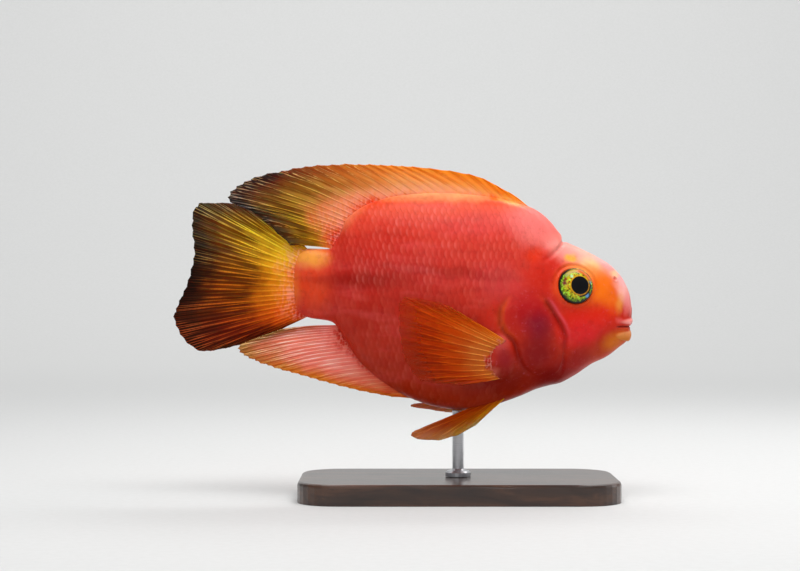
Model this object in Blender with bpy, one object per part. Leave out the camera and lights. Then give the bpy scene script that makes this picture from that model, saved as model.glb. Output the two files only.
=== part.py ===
# A blood parrot cichlid as a life-size still model on a plain display stand.
# The fish swims nose slightly down towards +X, its right side faces -Y and +Z is up.
# The origin is the middle of the underside of the stand's base.
# Sizes are millimetres in the tables and functions, and MM turns them into Blender's metres.

import math

import bmesh
import bpy
import numpy as np
from mathutils import Vector
from mathutils.bvhtree import BVHTree

MM = 0.001
# Neighbouring pieces stand this far apart.
GAP = 0.3
SIDES = {"right": -1.0, "left": 1.0}
# Cutters reach at least this far past the body.
BEYOND = 60.0

# The outlines on the flanks are as seen from this far away, level with this point, so that they
# are drawn a little larger than they are. true_place takes them back.
VIEW_X = -22.7
VIEW_Z = 82.8
VIEW_DISTANCE = 739.7

# The body is lofted through ribs, from the root of the tail fin to the lips. Each rib is
# (back x, back z, belly x, belly z, half width, fullness above, fullness below). The fullness is
# the power of the sine that rounds the flank: under 1 is blunt, over 1 is keeled.
RIBS = (
    (-64.7, 91.6, -64.7, 77.2, 1.2, 1.0, 1.0),
    (-62.9, 95.6, -63.1, 72.2, 2.8, 1.0, 1.0),
    (-58.6, 97.5, -58.2, 69.8, 4.6, 1.0, 1.0),
    (-50.9, 97.3, -49.7, 68.3, 7.0, 1.0, 1.0),
    (-47.2, 101.8, -44.3, 61.1, 9.0, 1.05, 1.0),
    (-43.9, 109.0, -39.2, 53.3, 11.0, 1.1, 1.0),
    (-33.7, 115.7, -28.2, 43.8, 14.4, 1.15, 0.95),
    (-20.8, 118.7, -16.8, 37.6, 17.0, 1.15, 0.9),
    (-7.0, 119.4, -6.3, 34.6, 18.7, 1.15, 0.85),
    (6.7, 118.6, 3.9, 33.7, 19.6, 1.1, 0.85),
    (19.6, 116.4, 14.9, 36.0, 19.8, 1.05, 0.85),
    (30.2, 112.8, 24.3, 39.2, 19.3, 1.0, 0.85),
    (36.8, 107.4, 30.9, 42.0, 18.6, 0.95, 0.88),
    (39.8, 103.1, 36.0, 43.4, 17.9, 0.9, 0.9),
    (41.4, 100.7, 39.6, 44.2, 17.3, 0.85, 0.9),
    (47.8, 97.6, 45.8, 47.4, 15.8, 0.8, 0.88),
    (54.4, 94.3, 52.5, 51.9, 13.7, 0.78, 0.85),
    (60.3, 90.5, 58.0, 54.5, 11.2, 0.76, 0.82),
    (65.0, 85.0, 63.0, 58.2, 8.2, 0.76, 0.8),
    (67.5, 78.9, 66.4, 61.1, 5.0, 0.78, 0.8),
    (68.2, 74.2, 67.1, 63.3, 2.0, 0.85, 0.85),
)
# How far down each rib is widest, as a share of its height.
WIDEST = 0.54
BODY_STATIONS = 46
BODY_AROUND = 30
# How much closer together the stations stand on the head, and the points along the keels.
STATION_SHIFT = 0.035
STATION_SHIFT_FROM = 0.35
KEEL_SHIFT = 0.16

# Lines that part the body, each from above the back to below the belly.
HEAD_LINE = (
    (48.0, 112.0),
    (41.3, 100.9),
    (35.2, 94.0),
    (29.4, 88.1),
    (24.7, 81.8),
    (21.8, 75.2),
    (21.4, 68.5),
    (24.0, 62.3),
    (28.0, 56.8),
    (31.4, 50.5),
    (33.4, 42.7),
    (35.0, 30.0),
)
STALK_LINE = ((-51.6, 160.0), (-51.6, 97.0), (-51.0, 83.0), (-51.0, 69.0), (-51.0, 0.0))
JAW_LINE = ((80.0, 66.3), (66.0, 66.6), (60.8, 67.0), (58.2, 63.0), (56.8, 58.0), (55.8, 46.0))
# The corners that close the jaw's side of that line, and the skull's.
JAW_CORNERS = ((90.0, 40.0),)
SKULL_CORNERS = ((0.0, 20.0), (0.0, 130.0), (90.0, 130.0))

# The gill cover's edge, seen from the side.
GILL_OUTLINE = (
    (23.0, 80.6),
    (19.0, 76.4),
    (17.0, 70.6),
    (18.6, 65.2),
    (22.6, 61.4),
    (24.2, 56.6),
    (26.0, 51.8),
    (30.4, 47.6),
    (36.4, 46.2),
    (40.6, 49.4),
    (41.9, 56.0),
    (41.8, 62.0),
    (39.6, 68.2),
    (36.4, 73.4),
    (33.0, 78.0),
    (28.0, 81.2),
)
GILL_DEPTH = 19.5
GILL_RAISED = 0.9
GILL_THICK = 2.2
GILL_CURVE_POINTS = 34
GILL_CUT = (6.0, 40.0)

# The eyes look out between straight sideways and the slant of the skin, by this share of it.
EYE_SEEN = (46.0, 82.6)
EYE_SEEN_DEPTH = 15.5
EYE_TURN = 0.7
EYE_RADIUS = 6.7
EYE_BULGE = 2.9
EYE_DEPTH = 5.2
EYE_SUNK = 0.2
EYE_SEGMENTS = 22
EYE_RINGS = 8
RIM_RADIUS = 7.2
RIM_THICK = 0.55
RIM_SINK = 0.05
RIM_SEGMENTS = 22

NOSTRIL_SEEN = (61.9, 85.6)
NOSTRIL_SEEN_DEPTH = 9.0
NOSTRIL_RADIUS = 0.75
NOSTRIL_DEPTH = 1.6
NOSTRIL_RIM = 1.15
NOSTRIL_RIM_THICK = 0.4
NOSTRIL_SEGMENTS = 9

# The lips follow the skin round the snout, level with these heights. Each is thickest in front,
# with a half thickness outwards and another upwards.
LIP_FOCUS_X = 57.5
UPPER_LIP_Z = 68.8
UPPER_LIP_RISE = 0.2
UPPER_LIP_HALF = (1.4, 1.75)
UPPER_LIP_SINK = 0.75
LOWER_LIP_Z = 64.4
LOWER_LIP_RISE = -0.5
LOWER_LIP_HALF = (1.35, 2.1)
LOWER_LIP_SINK = 0.6
LIP_SPREAD = 66.0
LIP_STEPS = 15
LIP_CORNER_SHARE = 0.4
LIP_TAPER = 0.6
MOUTH_GAPE = (70.4, 66.5)
MOUTH_GAPE_RADII = (5.0, 6.0, 0.8)

# Fins. A guide is (root x, root z, tip x, tip z), from the first ray to the last.
DORSAL_GUIDES = (
    (26.0, 114.8, 20.0, 119.3),
    (14.9, 116.9, 4.7, 126.6),
    (1.6, 118.9, -16.8, 129.4),
    (-11.0, 119.3, -29.4, 130.2),
    (-22.7, 118.4, -42.3, 130.6),
    (-32.5, 116.2, -58.0, 129.8),
    (-39.2, 113.0, -71.7, 127.3),
    (-44.0, 108.9, -85.4, 123.0),
    (-46.0, 104.8, -90.9, 117.0),
    (-47.6, 101.4, -80.0, 111.0),
    (-48.6, 99.0, -65.0, 103.0),
)
CAUDAL_GUIDES = (
    (-58.4, 96.5, -63.0, 101.6),
    (-60.4, 96.5, -76.0, 109.2),
    (-61.6, 95.8, -90.0, 115.6),
    (-62.4, 94.0, -101.5, 115.6),
    (-62.9, 90.9, -104.6, 106.5),
    (-63.2, 87.0, -103.2, 96.5),
    (-63.2, 83.2, -105.2, 87.0),
    (-63.2, 79.8, -109.3, 77.6),
    (-62.9, 76.8, -111.7, 70.6),
    (-62.2, 74.4, -108.8, 62.8),
    (-61.2, 72.4, -100.0, 56.7),
    (-60.0, 71.2, -86.5, 59.6),
    (-58.8, 71.0, -71.0, 65.8),
)
ANAL_GUIDES = (
    (-19.0, 38.6, -26.0, 39.2),
    (-28.6, 44.2, -42.3, 42.3),
    (-35.2, 49.8, -57.2, 46.2),
    (-40.3, 55.2, -70.5, 50.1),
    (-43.5, 60.0, -80.7, 53.6),
    (-45.8, 64.0, -86.5, 58.3),
    (-47.6, 67.0, -70.0, 65.6),
)
# The paired fins are drawn on the right side and lean away from the body, as a third number on
# the tip says. Their roots are found on the skin.
PECTORAL_GUIDES = (
    (16.6, 62.6, 1.0, 72.0, 3.5),
    (15.8, 61.9, -8.5, 76.6, 5.5),
    (14.9, 61.0, -21.9, 78.7, 7.5),
    (12.6, 58.9, -23.9, 70.1, 9.0),
    (11.2, 55.2, -23.1, 60.7, 9.5),
    (11.2, 51.4, -20.8, 52.9, 9.0),
    (12.4, 48.0, -14.9, 45.4, 8.0),
    (14.6, 45.8, 1.5, 43.2, 5.0),
)
PECTORAL_DEPTH = 20.0
PECTORAL_ROOT_OUT = 1.0
PECTORAL_BASE = (17.0, 54.0)
PECTORAL_BASE_RADII = (5.6, 3.0, 9.4)
PECTORAL_BASE_SINK = 1.0
# The belly fins' roots run from (x, y, z) in front to (x, y, z) behind, with y from the middle.
PELVIC_ROOTS = ((18.4, 7.0, 39.6), (6.0, 4.0, 35.6))
PELVIC_TIPS = {
    "right": (
        (6.5, 28.6, 9.0),
        (-2.5, 24.2, 11.5),
        (-10.5, 22.9, 12.5),
        (-19.4, 25.1, 12.0),
        (-13.5, 28.0, 9.5),
        (-2.5, 31.6, 6.5),
    ),
    "left": (
        (5.0, 33.0, 10.5),
        (-4.0, 32.2, 13.0),
        (-11.5, 33.2, 14.5),
        (-19.6, 34.7, 15.5),
        (-13.0, 36.0, 14.5),
        (-2.0, 35.0, 10.0),
    ),
}

# The membrane's thickness, how far a ray rises above it, how much of the way to the next ray it
# takes up, and how thick both still are at the tips.
FIN_MEMBRANE = 0.55
RAY_HEIGHT = 0.3
RAY_SHARE = 0.3
FIN_TIP_SHARE = 0.62
# A fin is drawn this far into the body before the body cuts it off.
ROOT_REACH = 2.5
# Each fin's rays, the points along a ray, how deep the membrane is notched between two ray tips,
# and how far the rays bow upwards.
FIN_PLANS = {
    "dorsal_fin": {"rays": 24, "rows": 5, "notch": 0.9, "bow": 1.5},
    "anal_fin": {"rays": 16, "rows": 5, "notch": 0.8, "bow": 1.2},
    "caudal_fin": {"rays": 18, "rows": 7, "notch": 0.6, "bow": 0.0},
    "pectoral_fin": {"rays": 12, "rows": 6, "notch": 0.7, "bow": 0.0},
    "pelvic_fin": {"rays": 6, "rows": 6, "notch": 0.6, "bow": 0.0},
}

BASE_LENGTH = 124.0
BASE_WIDTH = 66.0
BASE_HEIGHT = 8.0
BASE_CORNER = 16.0
BASE_BEVEL = 1.2
BASE_CORNER_STEPS = 8
ROD_RADIUS = 2.2
FERRULE_RADIUS = 5.0
FERRULE_HEIGHT = 2.4
ROD_SIDES = 24
ROD_TOP = 45.0

# Edges sharper than this, in degrees, stay hard: the second is for fins, eyes and lips.
SHARP_ANGLE = 35.0
SOFT_ANGLE = 60.0


def true_place(x, z, depth):
    """Where a point really is that stands nearer to the viewer than the middle plane by depth."""
    share = 1 - depth / VIEW_DISTANCE
    return VIEW_X + (x - VIEW_X) * share, VIEW_Z + (z - VIEW_Z) * share


# Smooth curves through few points.


def slopes_of(x, y):
    """Slopes for a cubic through the points that never overshoots them."""
    step = np.diff(x)
    rise = np.diff(y) / step
    slope = np.zeros(len(x))
    for i in range(1, len(x) - 1):
        if rise[i - 1] * rise[i] > 0:
            before, after = 2 * step[i] + step[i - 1], step[i] + 2 * step[i - 1]
            slope[i] = (before + after) / (before / rise[i - 1] + after / rise[i])
    slope[0], slope[-1] = rise[0], rise[-1]
    return slope


def cubic(x, y, at):
    """Values of that cubic at the places asked for."""
    x, y = np.asarray(x, float), np.asarray(y, float)
    slope = slopes_of(x, y)
    i = np.clip(np.searchsorted(x, at, side="right") - 1, 0, len(x) - 2)
    width = x[i + 1] - x[i]
    t = (at - x[i]) / width
    return (
        y[i] * (1 + 2 * t) * (1 - t) ** 2
        + y[i + 1] * t * t * (3 - 2 * t)
        + slope[i] * width * t * (1 - t) ** 2
        - slope[i + 1] * width * t * t * (1 - t)
    )


def cubic_rows(rows, at):
    """The rows of a table as smooth functions of their place in it, from 0 to 1."""
    rows = np.asarray(rows, float)
    places = np.linspace(0, 1, len(rows))
    return np.stack([cubic(places, rows[:, k], np.asarray(at)) for k in range(rows.shape[1])], -1)


def closed_curve(points, count):
    """Points evenly along a closed round-cornered curve through the given ones."""
    points = np.asarray(points, float)
    n = len(points)
    found = []
    for u in np.linspace(0, n, count, endpoint=False):
        i, t = int(u), u - int(u)
        a, b, c, d = (points[(i + k - 1) % n] for k in range(4))
        bend, twist = 2 * a - 5 * b + 4 * c - d, 3 * b - a - 3 * c + d
        found.append(0.5 * (2 * b + (c - a) * t + bend * t**2 + twist * t**3))
    return np.array(found)


def inset_curve(points, distance):
    """A closed curve moved inwards by the same distance everywhere."""
    way = np.roll(points, -1, axis=0) - np.roll(points, 1, axis=0)
    way /= np.linalg.norm(way, axis=1, keepdims=True)
    inwards = np.stack([-way[:, 1], way[:, 0]], -1)
    if (inwards * (points.mean(axis=0) - points)).sum() < 0:
        inwards = -inwards
    return points + distance * inwards


# Meshes, materials and the few operations that join and cut them.


def material(name, colour, roughness, metallic=0.0):
    made = bpy.data.materials.new(name)
    made.use_nodes = True
    shader = made.node_tree.nodes["Principled BSDF"]
    shader.inputs["Base Color"].default_value = (*colour, 1.0)
    shader.inputs["Roughness"].default_value = roughness
    shader.inputs["Metallic"].default_value = metallic
    return made


def make_object(name, points, faces, look=None):
    """A closed mesh of the given points, in millimetres, split into triangles that face outwards."""
    mesh = bpy.data.meshes.new(name)
    mesh.from_pydata([Vector(p) * MM for p in points], [], faces)
    made = bmesh.new()
    made.from_mesh(mesh)
    bmesh.ops.triangulate(made, faces=made.faces, quad_method="FIXED")
    if made.calc_volume(signed=True) < 0:
        bmesh.ops.reverse_faces(made, faces=made.faces)
    made.to_mesh(mesh)
    made.free()
    obj = bpy.data.objects.new(name, mesh)
    bpy.context.scene.collection.objects.link(obj)
    if look:
        mesh.materials.append(look)
    return obj


def drop(obj):
    bpy.data.objects.remove(obj, do_unlink=True)


def copy_of(obj, name):
    made = obj.copy()
    made.data = obj.data.copy()
    made.name = name
    bpy.context.scene.collection.objects.link(made)
    return made


def apply_modifiers(obj):
    bpy.context.view_layer.update()
    graph = bpy.context.evaluated_depsgraph_get()
    done = bpy.data.meshes.new_from_object(obj.evaluated_get(graph))
    obj.modifiers.clear()
    obj.data = done


def boolean(obj, other, operation, keep_other=False):
    """One cut or join. The manifold solver closes the eye sockets' edges, which the exact one leaves
    open where a rim crosses them."""
    change = obj.modifiers.new(operation.title(), "BOOLEAN")
    change.operation = operation
    change.solver = "MANIFOLD"
    change.object = other
    apply_modifiers(obj)
    if not keep_other:
        drop(other)


def join_all(obj, others):
    """One union of obj with a collection of closed pieces, which are then removed."""
    group = bpy.data.collections.new("pieces")
    for other in others:
        group.objects.link(other)
    change = obj.modifiers.new("Union", "BOOLEAN")
    change.operation = "UNION"
    change.solver = "MANIFOLD"
    change.operand_type = "COLLECTION"
    change.collection = group
    apply_modifiers(obj)
    for other in others:
        drop(other)
    bpy.data.collections.remove(group)


def keep_largest(obj):
    """Keeps the largest closed surface of a node, so that it is one body."""
    mesh = bmesh.new()
    mesh.from_mesh(obj.data)
    unseen, largest = set(mesh.verts), []
    while unseen:
        part, edge = [], [unseen.pop()]
        while edge:
            vertex = edge.pop()
            part.append(vertex)
            for link in vertex.link_edges:
                other = link.other_vert(vertex)
                if other in unseen:
                    unseen.remove(other)
                    edge.append(other)
        largest = max(largest, part, key=len)
    scraps = set(mesh.verts) - set(largest)
    bmesh.ops.delete(mesh, geom=list(scraps), context="VERTS")
    mesh.to_mesh(obj.data)
    mesh.free()


def finish(obj, look, sharp_angle=SHARP_ANGLE):
    """A node's last step: one closed body, one material, smooth but for its sharp edges."""
    keep_largest(obj)
    obj.data.materials.clear()
    obj.data.materials.append(look)
    obj.data.shade_smooth()
    obj.data.set_sharp_from_angle(angle=math.radians(sharp_angle))


# The body's surface.


def body_point_grid(places, angles, grow=0.0):
    """Points of the skin. A place runs from 0 at the tail to 1 at the lips, an angle from 0 at the
    back, down the left side, and grow moves each point outwards."""
    rows = cubic_rows(RIBS, places)
    back, belly, half_width = rows[:, 0:2], rows[:, 2:4], rows[:, 4]
    middle = back + (belly - back) * WIDEST
    cosine, sine = np.cos(angles), np.sin(angles)
    upper = cosine > 0
    up, down = (back - middle)[:, None, :], (middle - belly)[:, None, :]
    reach = np.where(upper[None, :, None], up, down)
    fullness = np.where(upper[None, :], rows[:, 5:6], rows[:, 6:7])
    flat = middle[:, None, :] + reach * cosine[None, :, None]
    side = half_width[:, None] * np.sign(sine)[None, :] * np.abs(sine)[None, :] ** fullness
    points = np.stack([flat[:, :, 0], side, flat[:, :, 1]], -1)
    if grow:
        points = points + grow * grid_normals(points)
    return points


def grid_normals(points):
    """Outward unit normals of a grid that is closed round its second axis."""
    along = np.gradient(points, axis=0)
    across = np.roll(points, -1, axis=1) - np.roll(points, 1, axis=1)
    normal = np.cross(along, across)
    length = np.linalg.norm(normal, axis=-1, keepdims=True)
    return normal / np.maximum(length, 1e-9)


def body_places():
    """Stations from the tail to the lips, closer together on the head and at both ends."""
    even = np.linspace(0, 1, BODY_STATIONS)
    return even + STATION_SHIFT * np.sin(2 * math.pi * even) * (even - STATION_SHIFT_FROM)


def body_angles():
    """Angles round the body, closer together where the back and the belly turn."""
    even = np.linspace(0, 2 * math.pi, BODY_AROUND, endpoint=False)
    return even - KEEL_SHIFT * np.sin(2 * even)


def body_shell(name, grow=0.0):
    """The whole body as one closed mesh, grown outwards by the given depth."""
    points = body_point_grid(body_places(), body_angles(), grow)
    stations, around = points.shape[:2]
    end_push = np.array([grow, 0.0, 0.0])
    points[0] -= end_push
    points[-1] += end_push
    flat = points.reshape(-1, 3)
    faces = []
    for i in range(stations - 1):
        for j in range(around):
            k = (j + 1) % around
            faces.append((i * around + j, (i + 1) * around + j, (i + 1) * around + k, i * around + k))
    ends = np.array([points[0].mean(axis=0), points[-1].mean(axis=0)])
    tail, nose = len(flat), len(flat) + 1
    last = (stations - 1) * around
    for j in range(around):
        k = (j + 1) % around
        faces.append((tail, j, k))
        faces.append((nose, last + k, last + j))
    return make_object(name, np.vstack([flat, ends]), faces)


def tree_of(obj):
    return BVHTree.FromPolygons(
        [v.co.copy() for v in obj.data.vertices], [tuple(p.vertices) for p in obj.data.polygons]
    )


def on_skin(tree, x, z, side):
    """The point of the skin, in millimetres, at a place on one side, and the normal there."""
    start = Vector((x, side * BEYOND, z)) * MM
    hit, normal = tree.ray_cast(start, Vector((0, -side, 0)))[:2]
    return hit / MM, normal


def seen_on_skin(tree, seen, depth, side):
    """The same for a landmark of the side view, given roughly how far out the skin is there."""
    return on_skin(tree, *true_place(*seen, depth), side)


# Closed pieces to cut and join with.


def prism(name, outline, low_y, high_y):
    """A closed outline in the fish's side view, extruded across it."""
    n = len(outline)
    points = [(x, y, z) for y in (low_y, high_y) for x, z in outline]
    faces = [tuple(range(n))[::-1], tuple(range(n, 2 * n))]
    faces += [(i, (i + 1) % n, n + (i + 1) % n, n + i) for i in range(n)]
    return make_object(name, points, faces)


def shifted_line(line, distance):
    """The line moved sideways: to its left for a positive distance."""
    line = np.asarray(line, float)
    way = np.gradient(line, axis=0)
    way /= np.linalg.norm(way, axis=1, keepdims=True)
    return line + distance * np.stack([-way[:, 1], way[:, 0]], -1)


def side_of_line(name, line, towards_x):
    """Everything on one side of a parting line, short of it by half a gap: 1 is the side towards
    the head and -1 the side towards the tail."""
    edge = shifted_line(line, towards_x * GAP / 2)
    far = 3 * BEYOND * towards_x
    outline = [*edge, (far, edge[-1][1] - BEYOND), (far, edge[0][1] + BEYOND)]
    return prism(name, outline, -BEYOND, BEYOND)


def ellipsoid(name, centre, radii, segments=20, rings=12):
    """A closed ellipsoid with its poles along Y."""
    points = [(centre[0], centre[1] - radii[1], centre[2])]
    for i in range(1, rings):
        polar = math.pi * i / rings
        for j in range(segments):
            turn = 2 * math.pi * j / segments
            points.append(
                (
                    centre[0] + radii[0] * math.sin(polar) * math.cos(turn),
                    centre[1] - radii[1] * math.cos(polar),
                    centre[2] + radii[2] * math.sin(polar) * math.sin(turn),
                )
            )
    points.append((centre[0], centre[1] + radii[1], centre[2]))
    faces, last = [], len(points) - 1
    for j in range(segments):
        k = (j + 1) % segments
        faces.append((0, 1 + j, 1 + k))
        faces.append((last, last - segments + k, last - segments + j))
        for i in range(rings - 2):
            a, b = 1 + i * segments, 1 + (i + 1) * segments
            faces.append((a + j, b + j, b + k, a + k))
    return make_object(name, points, faces)


def tube(name, path, out_radii, up_radii, sides=10):
    """A closed tube along a level path, with one radius across it and one upwards at each point."""
    path = np.asarray(path, float)
    way = np.gradient(path, axis=0)
    way /= np.linalg.norm(way, axis=1, keepdims=True)
    up = np.array([0.0, 0.0, 1.0])
    points = []
    for centre, ahead, out_radius, up_radius in zip(path, way, out_radii, up_radii):
        out = np.cross(ahead, up)
        out *= out_radius / np.linalg.norm(out)
        for j in range(sides):
            turn = 2 * math.pi * j / sides
            points.append(centre + out * math.cos(turn) + up * up_radius * math.sin(turn))
    faces = []
    for i in range(len(path) - 1):
        for j in range(sides):
            k = (j + 1) % sides
            faces.append((i * sides + j, i * sides + k, (i + 1) * sides + k, (i + 1) * sides + j))
    faces.append(tuple(range(sides))[::-1])
    faces.append(tuple(range((len(path) - 1) * sides, len(path) * sides)))
    return make_object(name, points, faces)


def torus(name, centre, normal, major, minor, segments, sides):
    """A closed ring round a unit normal."""
    first = normal.orthogonal().normalized()
    second = normal.cross(first)
    points = []
    for i in range(segments):
        turn = 2 * math.pi * i / segments
        out = first * math.cos(turn) + second * math.sin(turn)
        for j in range(sides):
            roll = 2 * math.pi * j / sides
            ring = centre + out * (major + minor * math.cos(roll))
            points.append(ring + normal * minor * math.sin(roll))
    faces = []
    for i in range(segments):
        for j in range(sides):
            a, b = i * sides, ((i + 1) % segments) * sides
            k = (j + 1) % sides
            faces.append((a + j, b + j, b + k, a + k))
    return make_object(name, points, faces)


# Fins.


def root_points(tree, root, tip):
    """Where each ray meets the surface of a tree, or a little under the skin without one."""
    if tree is None:
        length = np.linalg.norm(tip - root, axis=1, keepdims=True)
        return root - (tip - root) / length * ROOT_REACH
    found = []
    for inner, outer in zip(root, tip):
        inner = inner - (outer - inner) * 0.3
        hit = tree.ray_cast(Vector(outer) * MM, Vector(inner - outer))[0]
        found.append(np.array(hit) / MM)
    return np.array(found)


def ray_places(rays):
    """Places across a fin, from 0 to 1, and whether each is on a ray: two for every ray and one
    half way to the next."""
    places, raised = [], []
    for ray in range(rays):
        places += [ray - RAY_SHARE / 2, ray + RAY_SHARE / 2, ray + 0.5]
        raised += [1.0, 1.0, 0.0]
    return np.clip(np.array(places[:-1]) / (rays - 1), 0.0, 1.0), np.array(raised[:-1])


def fin_sheet(name, roots, tips, plan, sway=None, tree=None):
    """A thin closed fin. roots and tips are (count, 3) guides from the first ray to the last. Each
    ray is a ridge on both faces of the membrane, and the membrane is notched between ray tips."""
    places, raised = ray_places(plan["rays"])
    root, tip = cubic_rows(roots, places), cubic_rows(tips, places)
    root = root_points(tree, root, tip)
    length = np.linalg.norm(tip - root, axis=1)
    deepest = plan["notch"] / np.maximum(length, 4 * plan["notch"] + 1)
    reach = 1.0 - deepest * (1.0 - raised)
    along = (np.linspace(0, 1, plan["rows"]) ** 0.9)[None, :] * reach[:, None]
    points = root[:, None, :] + (tip - root)[:, None, :] * along[:, :, None]
    points[:, :, 2] += plan["bow"] * (4 * along * (1 - along)) * length[:, None] / length.max()
    if sway:
        points[:, :, 1] += sway(places[:, None], along)
    across = np.gradient(points, axis=0)
    outward = np.cross(across, np.gradient(points, axis=1))
    outward /= np.maximum(np.linalg.norm(outward, axis=-1, keepdims=True), 1e-9)
    taper = 1 - (1 - FIN_TIP_SHARE) * along
    half = (FIN_MEMBRANE / 2 + RAY_HEIGHT * raised[:, None]) * taper
    front, back = points + outward * half[:, :, None], points - outward * half[:, :, None]
    return sheet_object(name, front, back)


def sheet_object(name, front, back):
    """Two grids of the same size as the faces of one thin closed solid, split alike."""
    columns, rows = front.shape[:2]
    points = np.vstack([front.reshape(-1, 3), back.reshape(-1, 3)])
    far = columns * rows
    faces = []
    for i in range(columns - 1):
        for j in range(rows - 1):
            a, b, c, d = i * rows + j, (i + 1) * rows + j, (i + 1) * rows + j + 1, i * rows + j + 1
            faces += [(a, b, c), (a, c, d), (far + a, far + c, far + b), (far + a, far + d, far + c)]
    rim = [i * rows for i in range(columns)]
    rim += [(columns - 1) * rows + j for j in range(1, rows)]
    rim += [i * rows + rows - 1 for i in range(columns - 2, -1, -1)]
    rim += [j for j in range(rows - 2, 0, -1)]
    for a, b in zip(rim, rim[1:] + rim[:1]):
        faces += [(b, a, far + a), (b, far + a, far + b)]
    return make_object(name, points, faces)


def flat_guides(guides):
    """Guides in the middle plane as root and tip points."""
    guides = np.asarray(guides, float)
    none = np.zeros(len(guides))
    roots = np.stack([guides[:, 0], none, guides[:, 1]], -1)
    tips = np.stack([guides[:, 2], none, guides[:, 3]], -1)
    return roots, tips


# How far each unpaired fin waves sideways, at a place across it and a share along its rays.


def dorsal_sway(place, along):
    """The soft rear of the back fin curls a little to the right."""
    return along**1.5 * (-3.0 * place**2 + 0.5 * np.sin(9 * place))


def anal_sway(place, along):
    return along**1.4 * (0.5 * np.sin(8 * place) - 2.0 * place)


def caudal_sway(place, along):
    """The tail fin is folded along its middle ray, which stands nearest the right side."""
    fold = np.exp(-(((place - 0.47) / 0.2) ** 2))
    return along**1.3 * (-6.0 * fold + 2.5 + 0.7 * np.sin(14 * place))


def make_median_fins(tree, looks):
    """The three unpaired fins, whose rays start a gap away from the skin."""
    fins = (
        ("dorsal_fin", DORSAL_GUIDES, dorsal_sway),
        ("anal_fin", ANAL_GUIDES, anal_sway),
        ("caudal_fin", CAUDAL_GUIDES, caudal_sway),
    )
    for name, guides, sway in fins:
        roots, tips = flat_guides(guides)
        made = fin_sheet(name, roots, tips, FIN_PLANS[name], sway, tree)
        finish(made, looks["fin"], SOFT_ANGLE)


def pectoral_base(tree, side, grow=0.0):
    """The fleshy lobe that carries a breast fin."""
    centre = seen_on_skin(tree, PECTORAL_BASE, PECTORAL_DEPTH, side)[0]
    centre.y -= side * PECTORAL_BASE_SINK
    radii = [radius + grow for radius in PECTORAL_BASE_RADII]
    return ellipsoid("pectoral_base", centre, radii, 14, 8)


def pectoral_guides(tree, side):
    """The breast fin's guides: roots on the skin, tips out from it."""
    roots, tips = [], []
    for root_x, root_z, tip_x, tip_z, lean in PECTORAL_GUIDES:
        root = seen_on_skin(tree, (root_x, root_z), PECTORAL_DEPTH, side)[0]
        root.y += side * PECTORAL_ROOT_OUT
        tip_x, tip_z = true_place(tip_x, tip_z, PECTORAL_DEPTH + lean)
        roots.append(root)
        tips.append((tip_x, root.y + side * lean, tip_z))
    return roots, tips


def make_paired_fins(tree, grown, looks):
    for name, side in SIDES.items():
        roots, tips = pectoral_guides(tree, side)
        made = fin_sheet(f"pectoral_fin_{name}", roots, tips, FIN_PLANS["pectoral_fin"])
        boolean(made, grown, "DIFFERENCE", keep_other=True)
        boolean(made, pectoral_base(tree, side, GAP), "DIFFERENCE")
        finish(made, looks["fin"], SOFT_ANGLE)
        front, rear = np.array(PELVIC_ROOTS)
        shares = np.linspace(0, 1, len(PELVIC_TIPS[name]))
        roots = [(front + (rear - front) * share) * (1, side, 1) for share in shares]
        tips = [(x, side * y, z) for x, z, y in PELVIC_TIPS[name]]
        made = fin_sheet(f"pelvic_fin_{name}", roots, tips, FIN_PLANS["pelvic_fin"])
        boolean(made, grown, "DIFFERENCE", keep_other=True)
        finish(made, looks["fin"], SOFT_ANGLE)


# The head.


def eye_solid(name, centre, axis, side, grow=0.0):
    """An eyeball that looks along an axis: shallow towards the water and deeper in the head."""
    turn = Vector((0, side, 0)).rotation_difference(axis)
    made = ellipsoid(name, (0, 0, 0), (1.0, 1.0, 1.0), EYE_SEGMENTS, EYE_RINGS)
    across = EYE_RADIUS + grow
    for vertex in made.data.vertices:
        p = vertex.co / MM
        depth = (EYE_BULGE if p.y * side > 0 else EYE_DEPTH) + grow
        vertex.co = (centre + turn @ Vector((p.x * across, p.y * depth, p.z * across))) * MM
    return made


def lip_path(tree, level, rise, sink):
    """Points round the snout just under the skin, from one mouth corner to the other. The lip's
    middle stands higher than its corners by rise."""
    path = []
    for turn in np.radians(np.linspace(-LIP_SPREAD, LIP_SPREAD, LIP_STEPS)):
        lift = rise * (math.cos(turn) - math.cos(math.radians(LIP_SPREAD)))
        way = Vector((math.cos(turn), math.sin(turn), 0))
        start = Vector((LIP_FOCUS_X, 0, level + lift)) + way * BEYOND
        hit = tree.ray_cast(start * MM, -way)[0]
        path.append(hit / MM - way * sink)
    return path


def lip(name, tree, level, rise, half, sink, grow=0.0):
    """A soft roll round the mouth that thins towards its corners."""
    path = lip_path(tree, level, rise, sink)
    path[0] += (path[0] - path[1]).normalized() * grow
    path[-1] += (path[-1] - path[-2]).normalized() * grow
    middle = np.cos(np.linspace(-1, 1, LIP_STEPS) * math.pi / 2) ** LIP_TAPER
    share = LIP_CORNER_SHARE + (1 - LIP_CORNER_SHARE) * middle
    return tube(name, path, half[0] * share + grow, half[1] * share + grow)


def make_gill_cover(name, side, shells, looks):
    """A plate of even thickness over the gills, and the hollow that it lies in."""
    outline = closed_curve([true_place(x, z, GILL_DEPTH) for x, z in GILL_OUTLINE], GILL_CURVE_POINTS)
    inner = inset_curve(outline, GAP)
    low, high = sorted(depth * side for depth in GILL_CUT)
    plate = copy_of(shells["raised"], f"gill_cover_{name}")
    boolean(plate, prism("plate_outline", inner, low, high), "INTERSECT")
    boolean(plate, shells["gill_floor_up"], "DIFFERENCE", keep_other=True)
    finish(plate, looks["gill"])
    hollow = prism(f"gill_hollow_{name}", outline, low, high)
    boolean(hollow, shells["gill_floor"], "DIFFERENCE", keep_other=True)
    return hollow


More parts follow.
